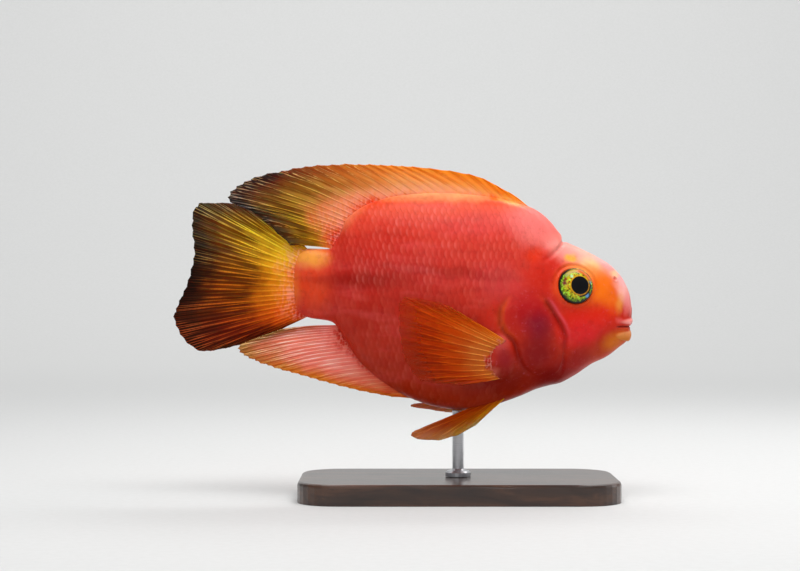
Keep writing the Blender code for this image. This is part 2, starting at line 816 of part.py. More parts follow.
def make_head(tree, body, hollows, looks):
    """The head without its lower jaw, with sockets, orbit rims, nostrils and the upper lip's seat."""
    head = copy_of(body, "head")
    boolean(head, side_of_line("head_side", HEAD_LINE, 1), "INTERSECT")
    jaw = copy_of(head, "lower_jaw")
    boolean(jaw, jaw_side("jaw_side", 1), "INTERSECT")
    boolean(head, jaw_side("skull_side", -1), "INTERSECT")
    for hollow in hollows:
        boolean(head, hollow, "DIFFERENCE", keep_other=True)
    rims, sockets, pits = [], [], []
    for name, side in SIDES.items():
        point, normal = seen_on_skin(tree, EYE_SEEN, EYE_SEEN_DEPTH, side)
        axis = (Vector((0, side, 0)).lerp(normal, EYE_TURN)).normalized()
        centre = point - axis * EYE_SUNK
        rim_centre = point - axis * RIM_SINK
        rims.append(torus("rim", rim_centre, axis, RIM_RADIUS, RIM_THICK, RIM_SEGMENTS, 5))
        sockets.append(eye_solid("socket", centre, axis, side, GAP))
        eye = eye_solid(f"eye_{name}", centre, axis, side)
        finish(eye, looks["eye"], SOFT_ANGLE)
        point, normal = seen_on_skin(tree, NOSTRIL_SEEN, NOSTRIL_SEEN_DEPTH, side)
        rims.append(torus("rim", point, normal, NOSTRIL_RIM, NOSTRIL_RIM_THICK, NOSTRIL_SEGMENTS, 5))
        pits.append(ellipsoid("pit", point, (NOSTRIL_RADIUS, NOSTRIL_DEPTH, NOSTRIL_RADIUS), 8, 6))
    join_all(head, rims)
    upper = (tree, UPPER_LIP_Z, UPPER_LIP_RISE, UPPER_LIP_HALF, UPPER_LIP_SINK)
    for cutter in sockets + pits + [lip("seat", *upper, GAP)]:
        boolean(head, cutter, "DIFFERENCE")
    upper_lip = lip("upper_lip", *upper)
    finish(upper_lip, looks["lip"], SOFT_ANGLE)
    lower = (tree, LOWER_LIP_Z, LOWER_LIP_RISE, LOWER_LIP_HALF, LOWER_LIP_SINK)
    join_all(jaw, [lip("lower_lip", *lower)])
    gape_x, gape_z = MOUTH_GAPE
    gape = ellipsoid("gape", (gape_x, 0, gape_z), MOUTH_GAPE_RADII)
    boolean(head, gape, "DIFFERENCE", keep_other=True)
    boolean(jaw, gape, "DIFFERENCE")
    finish(jaw, looks["lip"])
    finish(head, looks["skin"])


def jaw_side(name, sign):
    """The region in front of and below the jaw line for 1, or the rest of the head for -1."""
    corners = JAW_CORNERS if sign > 0 else SKULL_CORNERS
    outline = [*shifted_line(JAW_LINE, GAP / 2 * sign), *corners]
    return prism(name, outline, -BEYOND, BEYOND)


# The trunk and the tail's stalk.


def make_trunk(tree, body, hollows, looks):
    torso = copy_of(body, "torso")
    boolean(torso, side_of_line("rear_side", HEAD_LINE, -1), "INTERSECT")
    boolean(torso, side_of_line("front_side", STALK_LINE, 1), "INTERSECT")
    stalk = copy_of(body, "tail_stalk")
    boolean(stalk, side_of_line("stalk_side", STALK_LINE, -1), "INTERSECT")
    finish(stalk, looks["skin"])
    join_all(torso, [pectoral_base(tree, side) for side in SIDES.values()])
    for hollow in hollows:
        boolean(torso, hollow, "DIFFERENCE")
    finish(torso, looks["skin"])


# The stand.


def base_outline(inset):
    """A rectangle with round corners, made smaller all round by the inset."""
    outline = []
    corner = BASE_CORNER - inset
    for quarter, (sign_x, sign_y) in enumerate(((1, 1), (-1, 1), (-1, -1), (1, -1))):
        for step in range(BASE_CORNER_STEPS + 1):
            turn = math.pi / 2 * (quarter + step / BASE_CORNER_STEPS)
            x = sign_x * (BASE_LENGTH / 2 - BASE_CORNER) + corner * math.cos(turn)
            y = sign_y * (BASE_WIDTH / 2 - BASE_CORNER) + corner * math.sin(turn)
            outline.append((x, y))
    return outline


def make_base(looks):
    """A flat slab with a rounded upper edge."""
    levels = [(0.0, 0.0)]
    for turn in np.radians((0, 45, 90)):
        inset = BASE_BEVEL * (1 - math.cos(turn))
        levels.append((BASE_HEIGHT - BASE_BEVEL * (1 - math.sin(turn)), inset))
    points = [(x, y, z) for z, inset in levels for x, y in base_outline(inset)]
    n = len(points) // len(levels)
    faces = [tuple(range(n))[::-1], tuple(range((len(levels) - 1) * n, len(levels) * n))]
    for low in range(0, (len(levels) - 1) * n, n):
        for i in range(n):
            k = (i + 1) % n
            faces.append((low + i, low + k, low + n + k, low + n + i))
    finish(make_object("stand_base", points, faces), looks["base"])


def make_rod(grown, looks):
    """An upright rod in a turned foot, cut off where it meets the belly."""
    bottom = BASE_HEIGHT + GAP
    profile = (
        (FERRULE_RADIUS, bottom),
        (FERRULE_RADIUS, bottom + FERRULE_HEIGHT * 0.6),
        (FERRULE_RADIUS * 0.85, bottom + FERRULE_HEIGHT * 0.85),
        (ROD_RADIUS * 1.25, bottom + FERRULE_HEIGHT),
        (ROD_RADIUS, bottom + FERRULE_HEIGHT * 1.2),
        (ROD_RADIUS, ROD_TOP),
    )
    rod = turned("stand_rod", profile)
    boolean(rod, grown, "DIFFERENCE", keep_other=True)
    finish(rod, looks["rod"])


def turned(name, profile):
    """A closed solid of revolution about the upright axis through the base's middle."""
    points, faces = [], []
    for radius, z in profile:
        for j in range(ROD_SIDES):
            turn = 2 * math.pi * j / ROD_SIDES
            points.append((radius * math.cos(turn), radius * math.sin(turn), z))
    last = (len(profile) - 1) * ROD_SIDES
    for low in range(0, last, ROD_SIDES):
        for j in range(ROD_SIDES):
            k = (j + 1) % ROD_SIDES
            faces.append((low + j, low + k, low + ROD_SIDES + k, low + ROD_SIDES + j))
    faces += [tuple(range(ROD_SIDES))[::-1], tuple(range(last, last + ROD_SIDES))]
    return make_object(name, points, faces)


def main():
    for obj in list(bpy.data.objects):
        bpy.data.objects.remove(obj, do_unlink=True)
    looks = {
        "skin": material("skin", (0.82, 0.17, 0.08), 0.35),
        "gill": material("gill_cover", (0.75, 0.11, 0.10), 0.3),
        "lip": material("lips", (0.86, 0.24, 0.08), 0.35),
        "fin": material("fins", (0.86, 0.38, 0.05), 0.4),
        "eye": material("eyes", (0.45, 0.55, 0.05), 0.1),
        "base": material("base", (0.03, 0.025, 0.02), 0.4),
        "rod": material("rod", (0.6, 0.6, 0.62), 0.3, 1.0),
    }
    body = body_shell("body")
    tree = tree_of(body)
    shells = {
        "grown": body_shell("grown", GAP),
        "raised": body_shell("raised", GILL_RAISED),
        "gill_floor_up": body_shell("gill_floor_up", GILL_RAISED - GILL_THICK + GAP),
        "gill_floor": body_shell("gill_floor", GILL_RAISED - GILL_THICK),
    }
    hollows = [make_gill_cover(name, side, shells, looks) for name, side in SIDES.items()]
    make_head(tree, body, hollows, looks)
    make_trunk(tree, body, hollows, looks)
    make_median_fins(tree_of(shells["grown"]), looks)
    make_paired_fins(tree, shells["grown"], looks)
    make_base(looks)
    make_rod(shells["grown"], looks)
    for helper in [body, *shells.values()]:
        drop(helper)


main()
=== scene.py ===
import math
from collections import namedtuple

import bpy
import numpy as np
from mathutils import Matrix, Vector
from mathutils.bvhtree import BVHTree


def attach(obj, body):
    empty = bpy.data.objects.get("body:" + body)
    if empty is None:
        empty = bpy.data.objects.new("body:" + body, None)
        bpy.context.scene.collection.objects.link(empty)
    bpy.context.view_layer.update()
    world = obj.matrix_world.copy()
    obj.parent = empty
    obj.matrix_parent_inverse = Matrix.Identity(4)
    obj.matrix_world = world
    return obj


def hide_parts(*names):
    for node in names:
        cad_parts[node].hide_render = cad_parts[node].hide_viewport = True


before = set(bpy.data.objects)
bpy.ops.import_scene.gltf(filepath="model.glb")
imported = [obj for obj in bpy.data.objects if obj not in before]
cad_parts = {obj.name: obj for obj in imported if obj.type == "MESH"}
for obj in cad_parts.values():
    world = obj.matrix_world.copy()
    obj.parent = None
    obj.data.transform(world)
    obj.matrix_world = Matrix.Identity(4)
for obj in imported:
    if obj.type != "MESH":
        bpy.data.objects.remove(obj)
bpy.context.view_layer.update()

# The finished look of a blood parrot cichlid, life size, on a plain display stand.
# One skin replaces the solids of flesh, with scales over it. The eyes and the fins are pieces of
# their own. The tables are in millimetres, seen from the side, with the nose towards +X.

MM = 0.001
BODY = "root"
SIDES = {"right": -1.0, "left": 1.0}
# A length that reaches out of the body from anywhere in it, and one that is never reached.
OUTSIDE = 60.0
FAR = 1e9

# The camera looks level along +Y. Outlines on the flanks are as it sees them, a little larger than
# they are, and true_place takes them back.
VIEW_X = -22.7
VIEW_Z = 82.8
VIEW_DISTANCE = 739.7
LENS = 85.0
SENSOR = 36.0

# The body's ribs: (back x, back z, belly x, belly z, half width, fullness above, fullness below).
RIBS = (
    (-64.7, 91.6, -64.7, 77.2, 1.2, 1.0, 1.0),
    (-62.9, 95.6, -63.1, 72.2, 2.8, 1.0, 1.0),
    (-58.6, 97.5, -58.2, 69.8, 4.6, 1.0, 1.0),
    (-50.9, 97.3, -49.7, 68.3, 7.0, 1.0, 1.0),
    (-47.2, 101.8, -44.3, 61.1, 9.0, 1.05, 1.0),
    (-43.9, 109.0, -39.2, 53.3, 11.0, 1.1, 1.0),
    (-33.7, 115.7, -28.2, 43.8, 14.4, 1.15, 0.95),
    (-20.8, 118.7, -16.8, 37.6, 17.0, 1.15, 0.9),
    (-7.0, 119.4, -6.3, 34.6, 18.7, 1.15, 0.85),
    (6.7, 118.6, 3.9, 33.7, 19.6, 1.1, 0.85),
    (19.6, 116.4, 14.9, 36.0, 19.8, 1.05, 0.85),
    (30.2, 112.8, 24.3, 39.2, 19.3, 1.0, 0.85),
    (36.8, 107.4, 30.9, 42.0, 18.6, 0.95, 0.88),
    (39.8, 103.1, 36.0, 43.4, 17.9, 0.9, 0.9),
    (41.4, 100.7, 39.6, 44.2, 17.3, 0.85, 0.9),
    (47.8, 97.6, 45.8, 47.4, 15.8, 0.8, 0.88),
    (54.4, 94.3, 52.5, 51.9, 13.7, 0.78, 0.85),
    (60.3, 90.5, 58.0, 54.5, 11.2, 0.76, 0.82),
    (65.0, 85.0, 63.0, 58.2, 8.2, 0.76, 0.8),
    (67.5, 78.9, 66.4, 61.1, 5.0, 0.78, 0.8),
    (68.2, 74.2, 67.1, 63.3, 2.0, 0.85, 0.85),
)
WIDEST = 0.54
SKIN_STATIONS = 250
SKIN_AROUND = 360
# The share of the skin's rings that go to the trunk and tail stalk. The head has the rest.
TRUNK_RINGS = 0.33
NOSE_RINGS = 18
NOSE_DOME = 0.35
# How far the skin lies inside the smooth body, so that the coat stays within the solids' box.
COAT_DEPTH = 0.2
# The part of the bake's map that the skin fills, its two ends, and where it goes on past its seam.
SKIN_MAP = (0.02, 0.98)
SKIN_MAP_ENDS = ((0.01, 0.5), (0.99, 0.5))
MAP_SEAM = 0.983
SKIN_NODES = (
    "head", "lower_jaw", "upper_lip", "gill_cover_left", "gill_cover_right", "torso", "tail_stalk",
)

# Landmarks of the head. A depth is how much nearer to the camera one stands than the middle plane.
# Lines and outlines become smooth curves of so many points.
LINE_POINTS = 40
GILL_POINTS = 90
GILL_OUTLINE = (
    (23.0, 80.6), (19.0, 76.4), (17.0, 70.6), (18.6, 65.2), (22.6, 61.4), (24.2, 56.6), (26.0, 51.8),
    (30.4, 47.6), (36.4, 46.2), (40.6, 49.4), (41.9, 56.0), (41.8, 62.0), (39.6, 68.2), (36.4, 73.4),
    (33.0, 78.0), (28.0, 81.2),
)
GILL_DEPTH = 19.5
GROOVE = (
    (33.5, 78.0), (36.0, 74.6), (38.6, 70.6), (41.1, 66.6), (42.7, 61.5), (42.3, 56.0), (41.9, 50.5),
    (39.4, 44.5),
)
GROOVE_DEPTH = 18.0
NAPE_CREASE = ((42.0, 101.4), (39.8, 98.2), (36.6, 95.2), (33.2, 92.8), (30.4, 91.4))
JAW_FOLD = ((58.6, 67.2), (56.0, 63.6), (54.9, 60.0), (55.0, 56.4), (56.6, 52.6))
JAW_FOLD_DEPTH = 10.0
# Between which places the folds fade: from the middle plane outwards, by height, and for the gill
# cover towards the nose, along a line that leans with the height.
FLANK_Y = (4.0, 9.0)
GILL_TOP = (73.0, 80.5)
PLATE_TOP = (71.0, 80.5)
PLATE_FOOT = (46.0, 53.0)
GILL_FADE_X = (25.0, 36.0)
GILL_FADE_Z = 66.0
GILL_FADE_LEAN = 0.35
# How far the ridge runs in front of the groove.
RIDGE_AHEAD = 1.5
EYE_SEEN = (46.0, 82.6)
EYE_SEEN_DEPTH = 15.5
EYE_TURN = 0.7
EYE_RADIUS = 6.9
EYE_BULGE = 2.9
EYE_DEPTH = 5.2
EYE_SUNK = 0.2
EYE_SEGMENTS = 96
EYE_RINGS = 48
PUPIL_SHIFT = 1.25
PUPIL_RADIUS = 3.5
NOSTRIL_SEEN = (61.9, 85.6)
NOSTRIL_SEEN_DEPTH = 9.0
LIP_FOCUS_X = 57.5
LIP_SPREAD = 66.0
LIP_STEPS = 31
LIP_CORNER_SHARE = 0.4
LIP_TAPER = 0.6
UPPER_LIP = {"level": 68.8, "rise": 0.2, "half": (1.4, 1.75), "sink": 0.92}
LOWER_LIP = {"level": 63.7, "rise": -0.4, "half": (1.45, 2.6), "sink": 0.6}
MOUTH_LEVEL = 66.7
# The line of the mouth: its depth, its half width, and the turns round the snout where it fades out.
GAPE_DEPTH = 0.9
GAPE_HALF = 0.3
GAPE_ENDS = (1.0, 1.25)
# How softly a lip rises from the skin.
LIP_SOFT = 0.2
PECTORAL_DEPTH = 20.0
PECTORAL_BASE = (17.0, 54.0)
PECTORAL_BASE_RADII = (5.6, 3.0, 9.4)
PECTORAL_BASE_SINK = 1.0
PECTORAL_BASE_SOFT = 0.8
# How far an eye's folds reach along its axis.
EYE_REACH = 9.0
# The groove in an eyeball round its iris: depth, radius and width.
IRIS_GROOVE = (0.1, 6.35, 0.14)

# Folds of the skin: (line, height, distance of its middle, its width before that and after it).
FOLDS = (
    ("nape", 0.35, 2.4, 1.8, 1.8),
    ("nape", -0.75, 0.0, 0.9, 0.9),
    ("gill", -0.7, -0.8, 1.1, 0.7),
    ("gill", 0.3, -2.3, 0.9, 0.9),
    ("groove", -0.85, 0.0, 0.6, 1.5),
    ("ridge", 0.3, 0.0, 1.2, 1.2),
    ("jaw", -0.22, 0.0, 1.0, 1.0),
    ("eye", 0.42, 7.35, 0.45, 0.45),
    ("brow", -0.22, 8.4, 0.6, 0.6),
    ("brow", 0.2, 9.4, 0.7, 0.7),
    ("nostril", 0.3, 1.15, 0.4, 0.4),
)
# Steps of the skin: (line, height, distances where it starts and where it is reached).
STEPS = (
    ("plate", 0.35, -0.2, 0.5),
    ("plate", 0.25, 1.2, 3.0),
    ("gill", 0.5, -0.3, 0.5),
    ("eye", -3.4, 6.7, 6.2),
    ("nostril", -1.2, 0.85, 0.25),
)
# What colours the folds: (mask, line, strength, then as for a fold). The fold mask darkens the creases as
# painted shade, and the ridge mask is a painted highlight along the ridge.
FOLD_MASKS = (
    ("fold", "gill", 0.75, -0.7, 1.0, 0.6),
    ("fold", "groove", 0.75, 0.0, 0.6, 1.7),
    ("fold", "jaw", 0.12, 0.0, 1.0, 1.0),
    ("fold", "nape", 0.15, 0.0, 0.8, 0.8),
    ("rim", "gill", 0.8, -0.2, 1.4, 1.0),
    ("ridge", "ridge", 1.0, 0.0, 0.6, 0.6),
)

# Fins. A guide is (root x, root z, tip x, tip z), from the first ray to the last.
DORSAL_GUIDES = (
    (26.0, 114.8, 20.0, 119.3),
    (14.9, 116.9, 4.7, 126.6),
    (1.6, 118.9, -16.8, 129.4),
    (-11.0, 119.3, -29.4, 130.2),
    (-22.7, 118.4, -42.3, 130.5),
    (-32.5, 116.2, -58.0, 129.8),
    (-39.2, 113.0, -71.7, 127.3),
    (-44.0, 108.9, -85.4, 123.0),
    (-46.0, 104.8, -90.9, 117.0),
    (-47.6, 101.4, -80.0, 111.0),
    (-49.8, 97.0, -66.0, 98.4),
)
CAUDAL_GUIDES = (
    (-58.4, 96.5, -63.0, 101.6),
    (-60.4, 96.5, -76.0, 109.2),
    (-61.6, 95.8, -90.0, 115.6),
    (-62.4, 94.0, -101.5, 115.6),
    (-62.9, 90.9, -104.6, 106.5),
    (-63.2, 87.0, -103.2, 96.5),
    (-63.2, 83.2, -105.2, 87.0),
    (-63.2, 79.8, -109.3, 77.6),
    (-62.9, 76.8, -111.6, 70.6),
    (-62.2, 74.4, -108.8, 62.8),
    (-61.2, 72.4, -100.0, 56.7),
    (-60.0, 71.2, -86.5, 59.2),
    (-58.8, 71.0, -72.0, 64.4),
)
ANAL_GUIDES = (
    (-19.0, 38.6, -26.0, 39.2),
    (-28.6, 44.2, -42.3, 42.3),
    (-35.2, 49.8, -57.2, 46.2),
    (-40.3, 55.2, -70.5, 50.1),
    (-43.5, 60.0, -80.7, 53.6),
    (-45.8, 64.0, -86.5, 58.3),
    (-47.6, 67.0, -70.0, 65.6),
)
# On the paired fins the tip's third number is how far it leans away from the body.
PECTORAL_GUIDES = (
    (16.6, 62.6, 1.0, 72.0, 3.5),
    (15.8, 61.9, -8.5, 76.6, 5.5),
    (14.9, 61.0, -21.9, 78.7, 7.5),
    (12.6, 58.9, -23.9, 70.1, 9.0),
    (11.2, 55.2, -23.1, 60.7, 9.5),
    (11.2, 51.4, -20.8, 52.9, 9.0),
    (12.4, 48.0, -14.9, 45.4, 8.0),
    (14.6, 45.8, 1.5, 43.2, 5.0),
)
PECTORAL_ROOT_OUT = 1.0
PELVIC_ROOTS = ((18.4, 7.0, 39.6), (6.0, 4.0, 35.6))
PELVIC_TIPS = {
    "right": (
        (6.5, 28.6, 9.0), (-2.5, 24.2, 11.5), (-10.5, 22.9, 12.5),
        (-19.4, 25.1, 12.0), (-13.5, 28.0, 9.5), (-2.5, 31.6, 6.5),
    ),
    "left": (
        (5.0, 33.0, 10.5), (-4.0, 32.2, 13.0), (-11.5, 33.2, 14.5),
        (-19.6, 34.7, 15.5), (-13.0, 36.0, 14.5), (-2.0, 35.0, 10.0),
    ),
}
ROOT_REACH = 2.5
# A fin's plan. rays: how many, fine: samples from one ray to the next, rows: points along a ray,
# notch: how deep the rim is cut between two ray tips, bow: how far the rays bow upwards, branch: the
# share of a ray at which it first branches, half and height: a ray's half width and height, sheath:
# how much the root is thickened, front: the share of the height that the first rays have, flesh: the
# share of the fin over which the flesh's colours fade out, clear: how see-through the rim is.
Plan = namedtuple("Plan", "rays fine rows notch bow branch half height sheath front flesh clear")
FIN_PLANS = {
    "dorsal_fin": Plan(30, 14, 44, 1.0, 1.5, 0.5, 0.30, 0.26, 0.0, 0.35, 0.38, 0.0),
    "anal_fin": Plan(24, 14, 44, 0.8, 1.2, 0.4, 0.30, 0.24, 0.0, 1.0, 0.22, 0.0),
    "caudal_fin": Plan(28, 17, 64, 0.55, 0.0, 0.24, 0.38, 0.26, 0.8, 1.0, 0.26, 0.0),
    "pectoral_fin": Plan(15, 16, 50, 0.7, 0.0, 0.3, 0.30, 0.22, 0.0, 1.0, 0.1, 0.7),
    "pelvic_fin": Plan(7, 16, 40, 0.7, 0.0, 0.35, 0.32, 0.24, 0.0, 1.0, 0.16, 0.2),
}
MEMBRANE_HALF = 0.16
FIN_TIP_SHARE = 0.55
# How uneven the ray tips and the first branches are, as a share of a ray.
TIP_RAGGED = 0.02
BRANCH_RAGGED = 0.06
# How far the branches part, as a share of the gap between rays. The first ones have parted, and the
# second ones start, at these shares of a ray after the first branching.
FIRST_SPREAD = (0.24, 0.4)
SECOND_SPREAD = (0.11, 0.3)
# How far the membrane waves between rays.
MEMBRANE_RIPPLE = 0.25
# How sharply the rim's notches open, and how the points along a ray gather towards its tip.
NOTCH_POWER = 0.7
ROW_POWER = 0.95
# Behind which places across a fin its rays reach full height, and over which share of a ray the
# thickened root thins out.
FRONT_REACH = (0.2, 0.5)
SHEATH_REACH = (0.08, 0.24)
# The two halves of the bake's map that a fin's faces fill: their left edges, bottom edge and size.
FIN_MAP_LEFT = (0.01, 0.52)
FIN_MAP_BOTTOM = 0.02
FIN_MAP_SIZE = (0.47, 0.96)

# Scales: the step from one column to the next, from one row to the next, and a scale's own size.
SCALE_STEP = 1.15
SCALE_ROW = 3.6
SCALE_LENGTH = 3.9
SCALE_HEIGHT = 7.9
SCALE_LIFT = 0.07
SCALE_THICK = 0.05
# How deep its root is sunk, how far its middle arches up, how much narrower it gets towards its free
# edge and from where, how curved that edge is, and how much the scales differ in size, tilt and place.
SCALE_SINK = 0.1
SCALE_ARCH = 0.05
SCALE_NARROWING = 0.42
SCALE_NARROWS = (0.45, 1.0)
SCALE_CURVE = 0.2
SCALE_SIZES = (0.94, 1.06)
SCALE_TILT = 0.02
SCALE_SHIFTS = (0.05, 0.1)
# Scales lie flatter near their front edge and on the tail stalk: over what length behind the edge,
# between which x, and the least share that is left.
FADE_LENGTH = 20.0
FADE_TAIL = (-62.0, -38.0)
FADE_LEAST = 0.2
# Where its points lie, from root to free edge and from side to side, close together at the edges.
SCALE_ALONG = (0.0, 0.35, 0.62, 0.84, 0.98, 1.0)
SCALE_ACROSS = (-1.0, -0.97, -0.65, -0.33, 0.0, 0.33, 0.65, 0.97, 1.0)
SCALE_SEEDS = {"left": 11, "right": 12}
# Where the scales end towards the head: (height, x). Towards the tail they end at one x, and their
# first column has its middle this far along the body.
SCALE_FRONT = (
    (30.0, 20.0), (36.0, 22.0), (42.0, 17.0), (46.0, 8.5), (55.0, 7.5), (63.0, 8.0), (70.0, 10.5),
    (78.0, 13.0), (84.0, 20.0), (90.0, 26.0), (96.0, 31.0), (104.0, 35.0), (120.0, 32.0),
)
SCALE_REAR = -62.5
SCALE_FIRST = 0.6
# How far past the lines of back and belly the middle of a scale may lie.
SCALE_PAST = 1.0
# A table of the angles round the body: how much of the body it takes in, how many places and angles
# are measured, how far past back and belly, and its steps and reach in length.
ARC_PART = 0.9
ARC_PLACES = 260
ARC_ANGLES = 420
ARC_MARGIN = 0.35
ARC_STEP = 0.5
ARC_REACH = 80.0
# The side of a scale's own square on the bake's map.
PATCH = 0.003

# Colours are given as on a screen, from 0 to 255.
# The skin's base colour from the belly to the back, by height. Its darkening towards the belly is partly the
# fish's own colour and partly painted shade.
HEIGHT_COLOURS = (
    (30.0, (160, 38, 0)),
    (44.0, (180, 38, 0)),
    (58.0, (194, 38, 8)),
    (70.0, (205, 40, 20)),
    (84.0, (216, 52, 38)),
    (96.0, (220, 54, 40)),
    (107.0, (228, 56, 34)),
    (115.0, (238, 74, 34)),
    (120.0, (252, 150, 92)),
)
# Marks on both flanks: (x, z, half length, half height, turn in degrees, softness, strength, colour). The
# pale pink ones along the forehead and snout are painted highlights.
MARKS = (
    (-7.0, 122.4, 44.0, 5.6, 0, 0.8, 0.9, (255, 182, 122)),
    (22.0, 119.2, 15.0, 4.2, 16, 0.6, 0.95, (255, 206, 92)),
    (14.1, 117.8, 2.1, 2.3, 0, 0.5, 0.95, (253, 104, 0)),
    (-47.0, 112.0, 14.0, 6.6, -42, 0.8, 0.9, (253, 156, 104)),
    (30.5, 106.5, 13.0, 9.0, 30, 0.7, 0.8, (252, 124, 116)),
    (8.0, 106.0, 24.0, 6.0, 0, 0.8, 0.5, (232, 62, 60)),
    (-30.0, 87.0, 32.0, 15.0, 0, 0.9, 0.55, (192, 8, 0)),
    (-28.0, 99.0, 14.0, 8.0, -20, 0.8, 0.5, (214, 30, 6)),
    (-38.0, 96.0, 5.0, 7.0, 0, 0.9, 0.6, (206, 20, 0)),
    (-57.0, 84.0, 8.0, 12.0, 0, 0.7, 0.7, (250, 72, 20)),
    (-67.5, 82.0, 5.4, 11.0, 0, 0.9, 0.8, (254, 142, 54)),
    (-67.5, 95.5, 6.0, 4.6, -30, 0.8, 0.9, (248, 200, 20)),
    (-59.0, 93.8, 9.0, 4.4, 0, 0.8, 0.9, (255, 164, 60)),
    (16.0, 84.0, 12.0, 8.0, 20, 0.8, 0.45, (222, 70, 74)),
    (-5.0, 88.0, 32.0, 2.4, 5, 0.9, 0.5, (164, 16, 10)),
    (-38.0, 85.0, 20.0, 3.6, 0, 0.9, 0.75, (156, 10, 0)),
    (-36.0, 70.0, 13.0, 7.5, -30, 0.8, 0.5, (176, 24, 0)),
    (34.5, 86.0, 8.0, 8.0, 0, 0.8, 0.7, (208, 34, 14)),
    (30.0, 95.2, 4.0, 3.4, 0, 0.7, 0.85, (232, 52, 20)),
    # Painted highlights of the light from above, along the forehead and snout: this mark and the next two.
    (54.0, 93.5, 16.0, 6.4, 32, 0.6, 0.95, (250, 172, 150)),
    (41.5, 96.5, 8.6, 4.6, 25, 0.8, 0.85, (250, 150, 138)),
    (64.0, 83.0, 9.0, 2.8, 66, 0.8, 0.9, (255, 186, 176)),
    (44.3, 93.8, 2.6, 1.9, 0, 0.7, 0.9, (253, 176, 50)),
    (52.0, 90.6, 5.2, 2.8, 30, 0.8, 0.8, (254, 206, 140)),
    # Painted highlight: a pale lilac mark along the snout.
    (60.6, 88.0, 9.0, 2.6, 42, 0.8, 0.8, (246, 176, 190)),
    (55.6, 82.5, 8.0, 9.0, 0, 0.7, 0.95, (252, 116, 12)),
    (60.4, 76.0, 3.4, 6.0, 15, 0.8, 0.8, (250, 112, 18)),
    (61.6, 87.2, 2.0, 1.6, 30, 0.8, 0.6, (254, 200, 130)),
    # Painted highlight: a pale pink mark down the front of the snout.
    (67.2, 76.0, 2.0, 5.0, 0, 0.9, 0.7, (250, 140, 136)),
    (63.6, 75.6, 1.8, 4.6, 12, 0.9, 0.6, (253, 170, 70)),
    (46.0, 82.6, 9.4, 9.4, 0, 0.3, 0.6, (240, 86, 20)),
    (49.0, 88.6, 7.0, 3.6, 20, 0.8, 0.75, (253, 150, 66)),
    (51.7, 69.6, 13.0, 6.0, -10, 0.8, 0.85, (236, 40, 14)),
    (49.0, 64.0, 9.6, 7.0, 0, 0.8, 0.85, (232, 34, 38)),
    (44.0, 52.0, 13.0, 5.0, -30, 0.8, 0.8, (156, 8, 3)),
    (28.0, 72.5, 10.0, 9.0, 0, 0.8, 0.8, (172, 14, 26)),
    (31.5, 66.0, 6.0, 6.5, 0, 0.9, 0.7, (120, 6, 44)),
    (31.0, 56.0, 8.0, 9.0, 0, 0.8, 0.85, (138, 2, 12)),
    (59.0, 58.4, 9.4, 5.6, -35, 0.9, 0.9, (188, 54, 0)),
    (62.0, 61.4, 6.0, 3.4, -30, 0.9, 0.9, (220, 112, 4)),
    (16.0, 45.0, 18.0, 7.0, -8, 0.8, 0.7, (112, 10, 3)),
    (36.0, 46.0, 9.0, 5.0, -20, 0.8, 0.8, (122, 4, 3)),
    (17.0, 60.5, 3.4, 4.0, 0, 0.9, 0.7, (226, 96, 90)),
    (18.6, 54.4, 3.6, 5.4, 0, 0.9, 0.8, (150, 18, 30)),
    (14.2, 49.0, 2.4, 2.2, 0, 0.9, 0.6, (220, 110, 90)),
    (63.5, 69.0, 2.2, 1.2, 0, 0.95, 0.5, (246, 110, 106)),
)
# How far the marks' outlines waver, and a half width that has no limit.
MARK_WAVER = 5.0
NO_LIMIT = 1e4
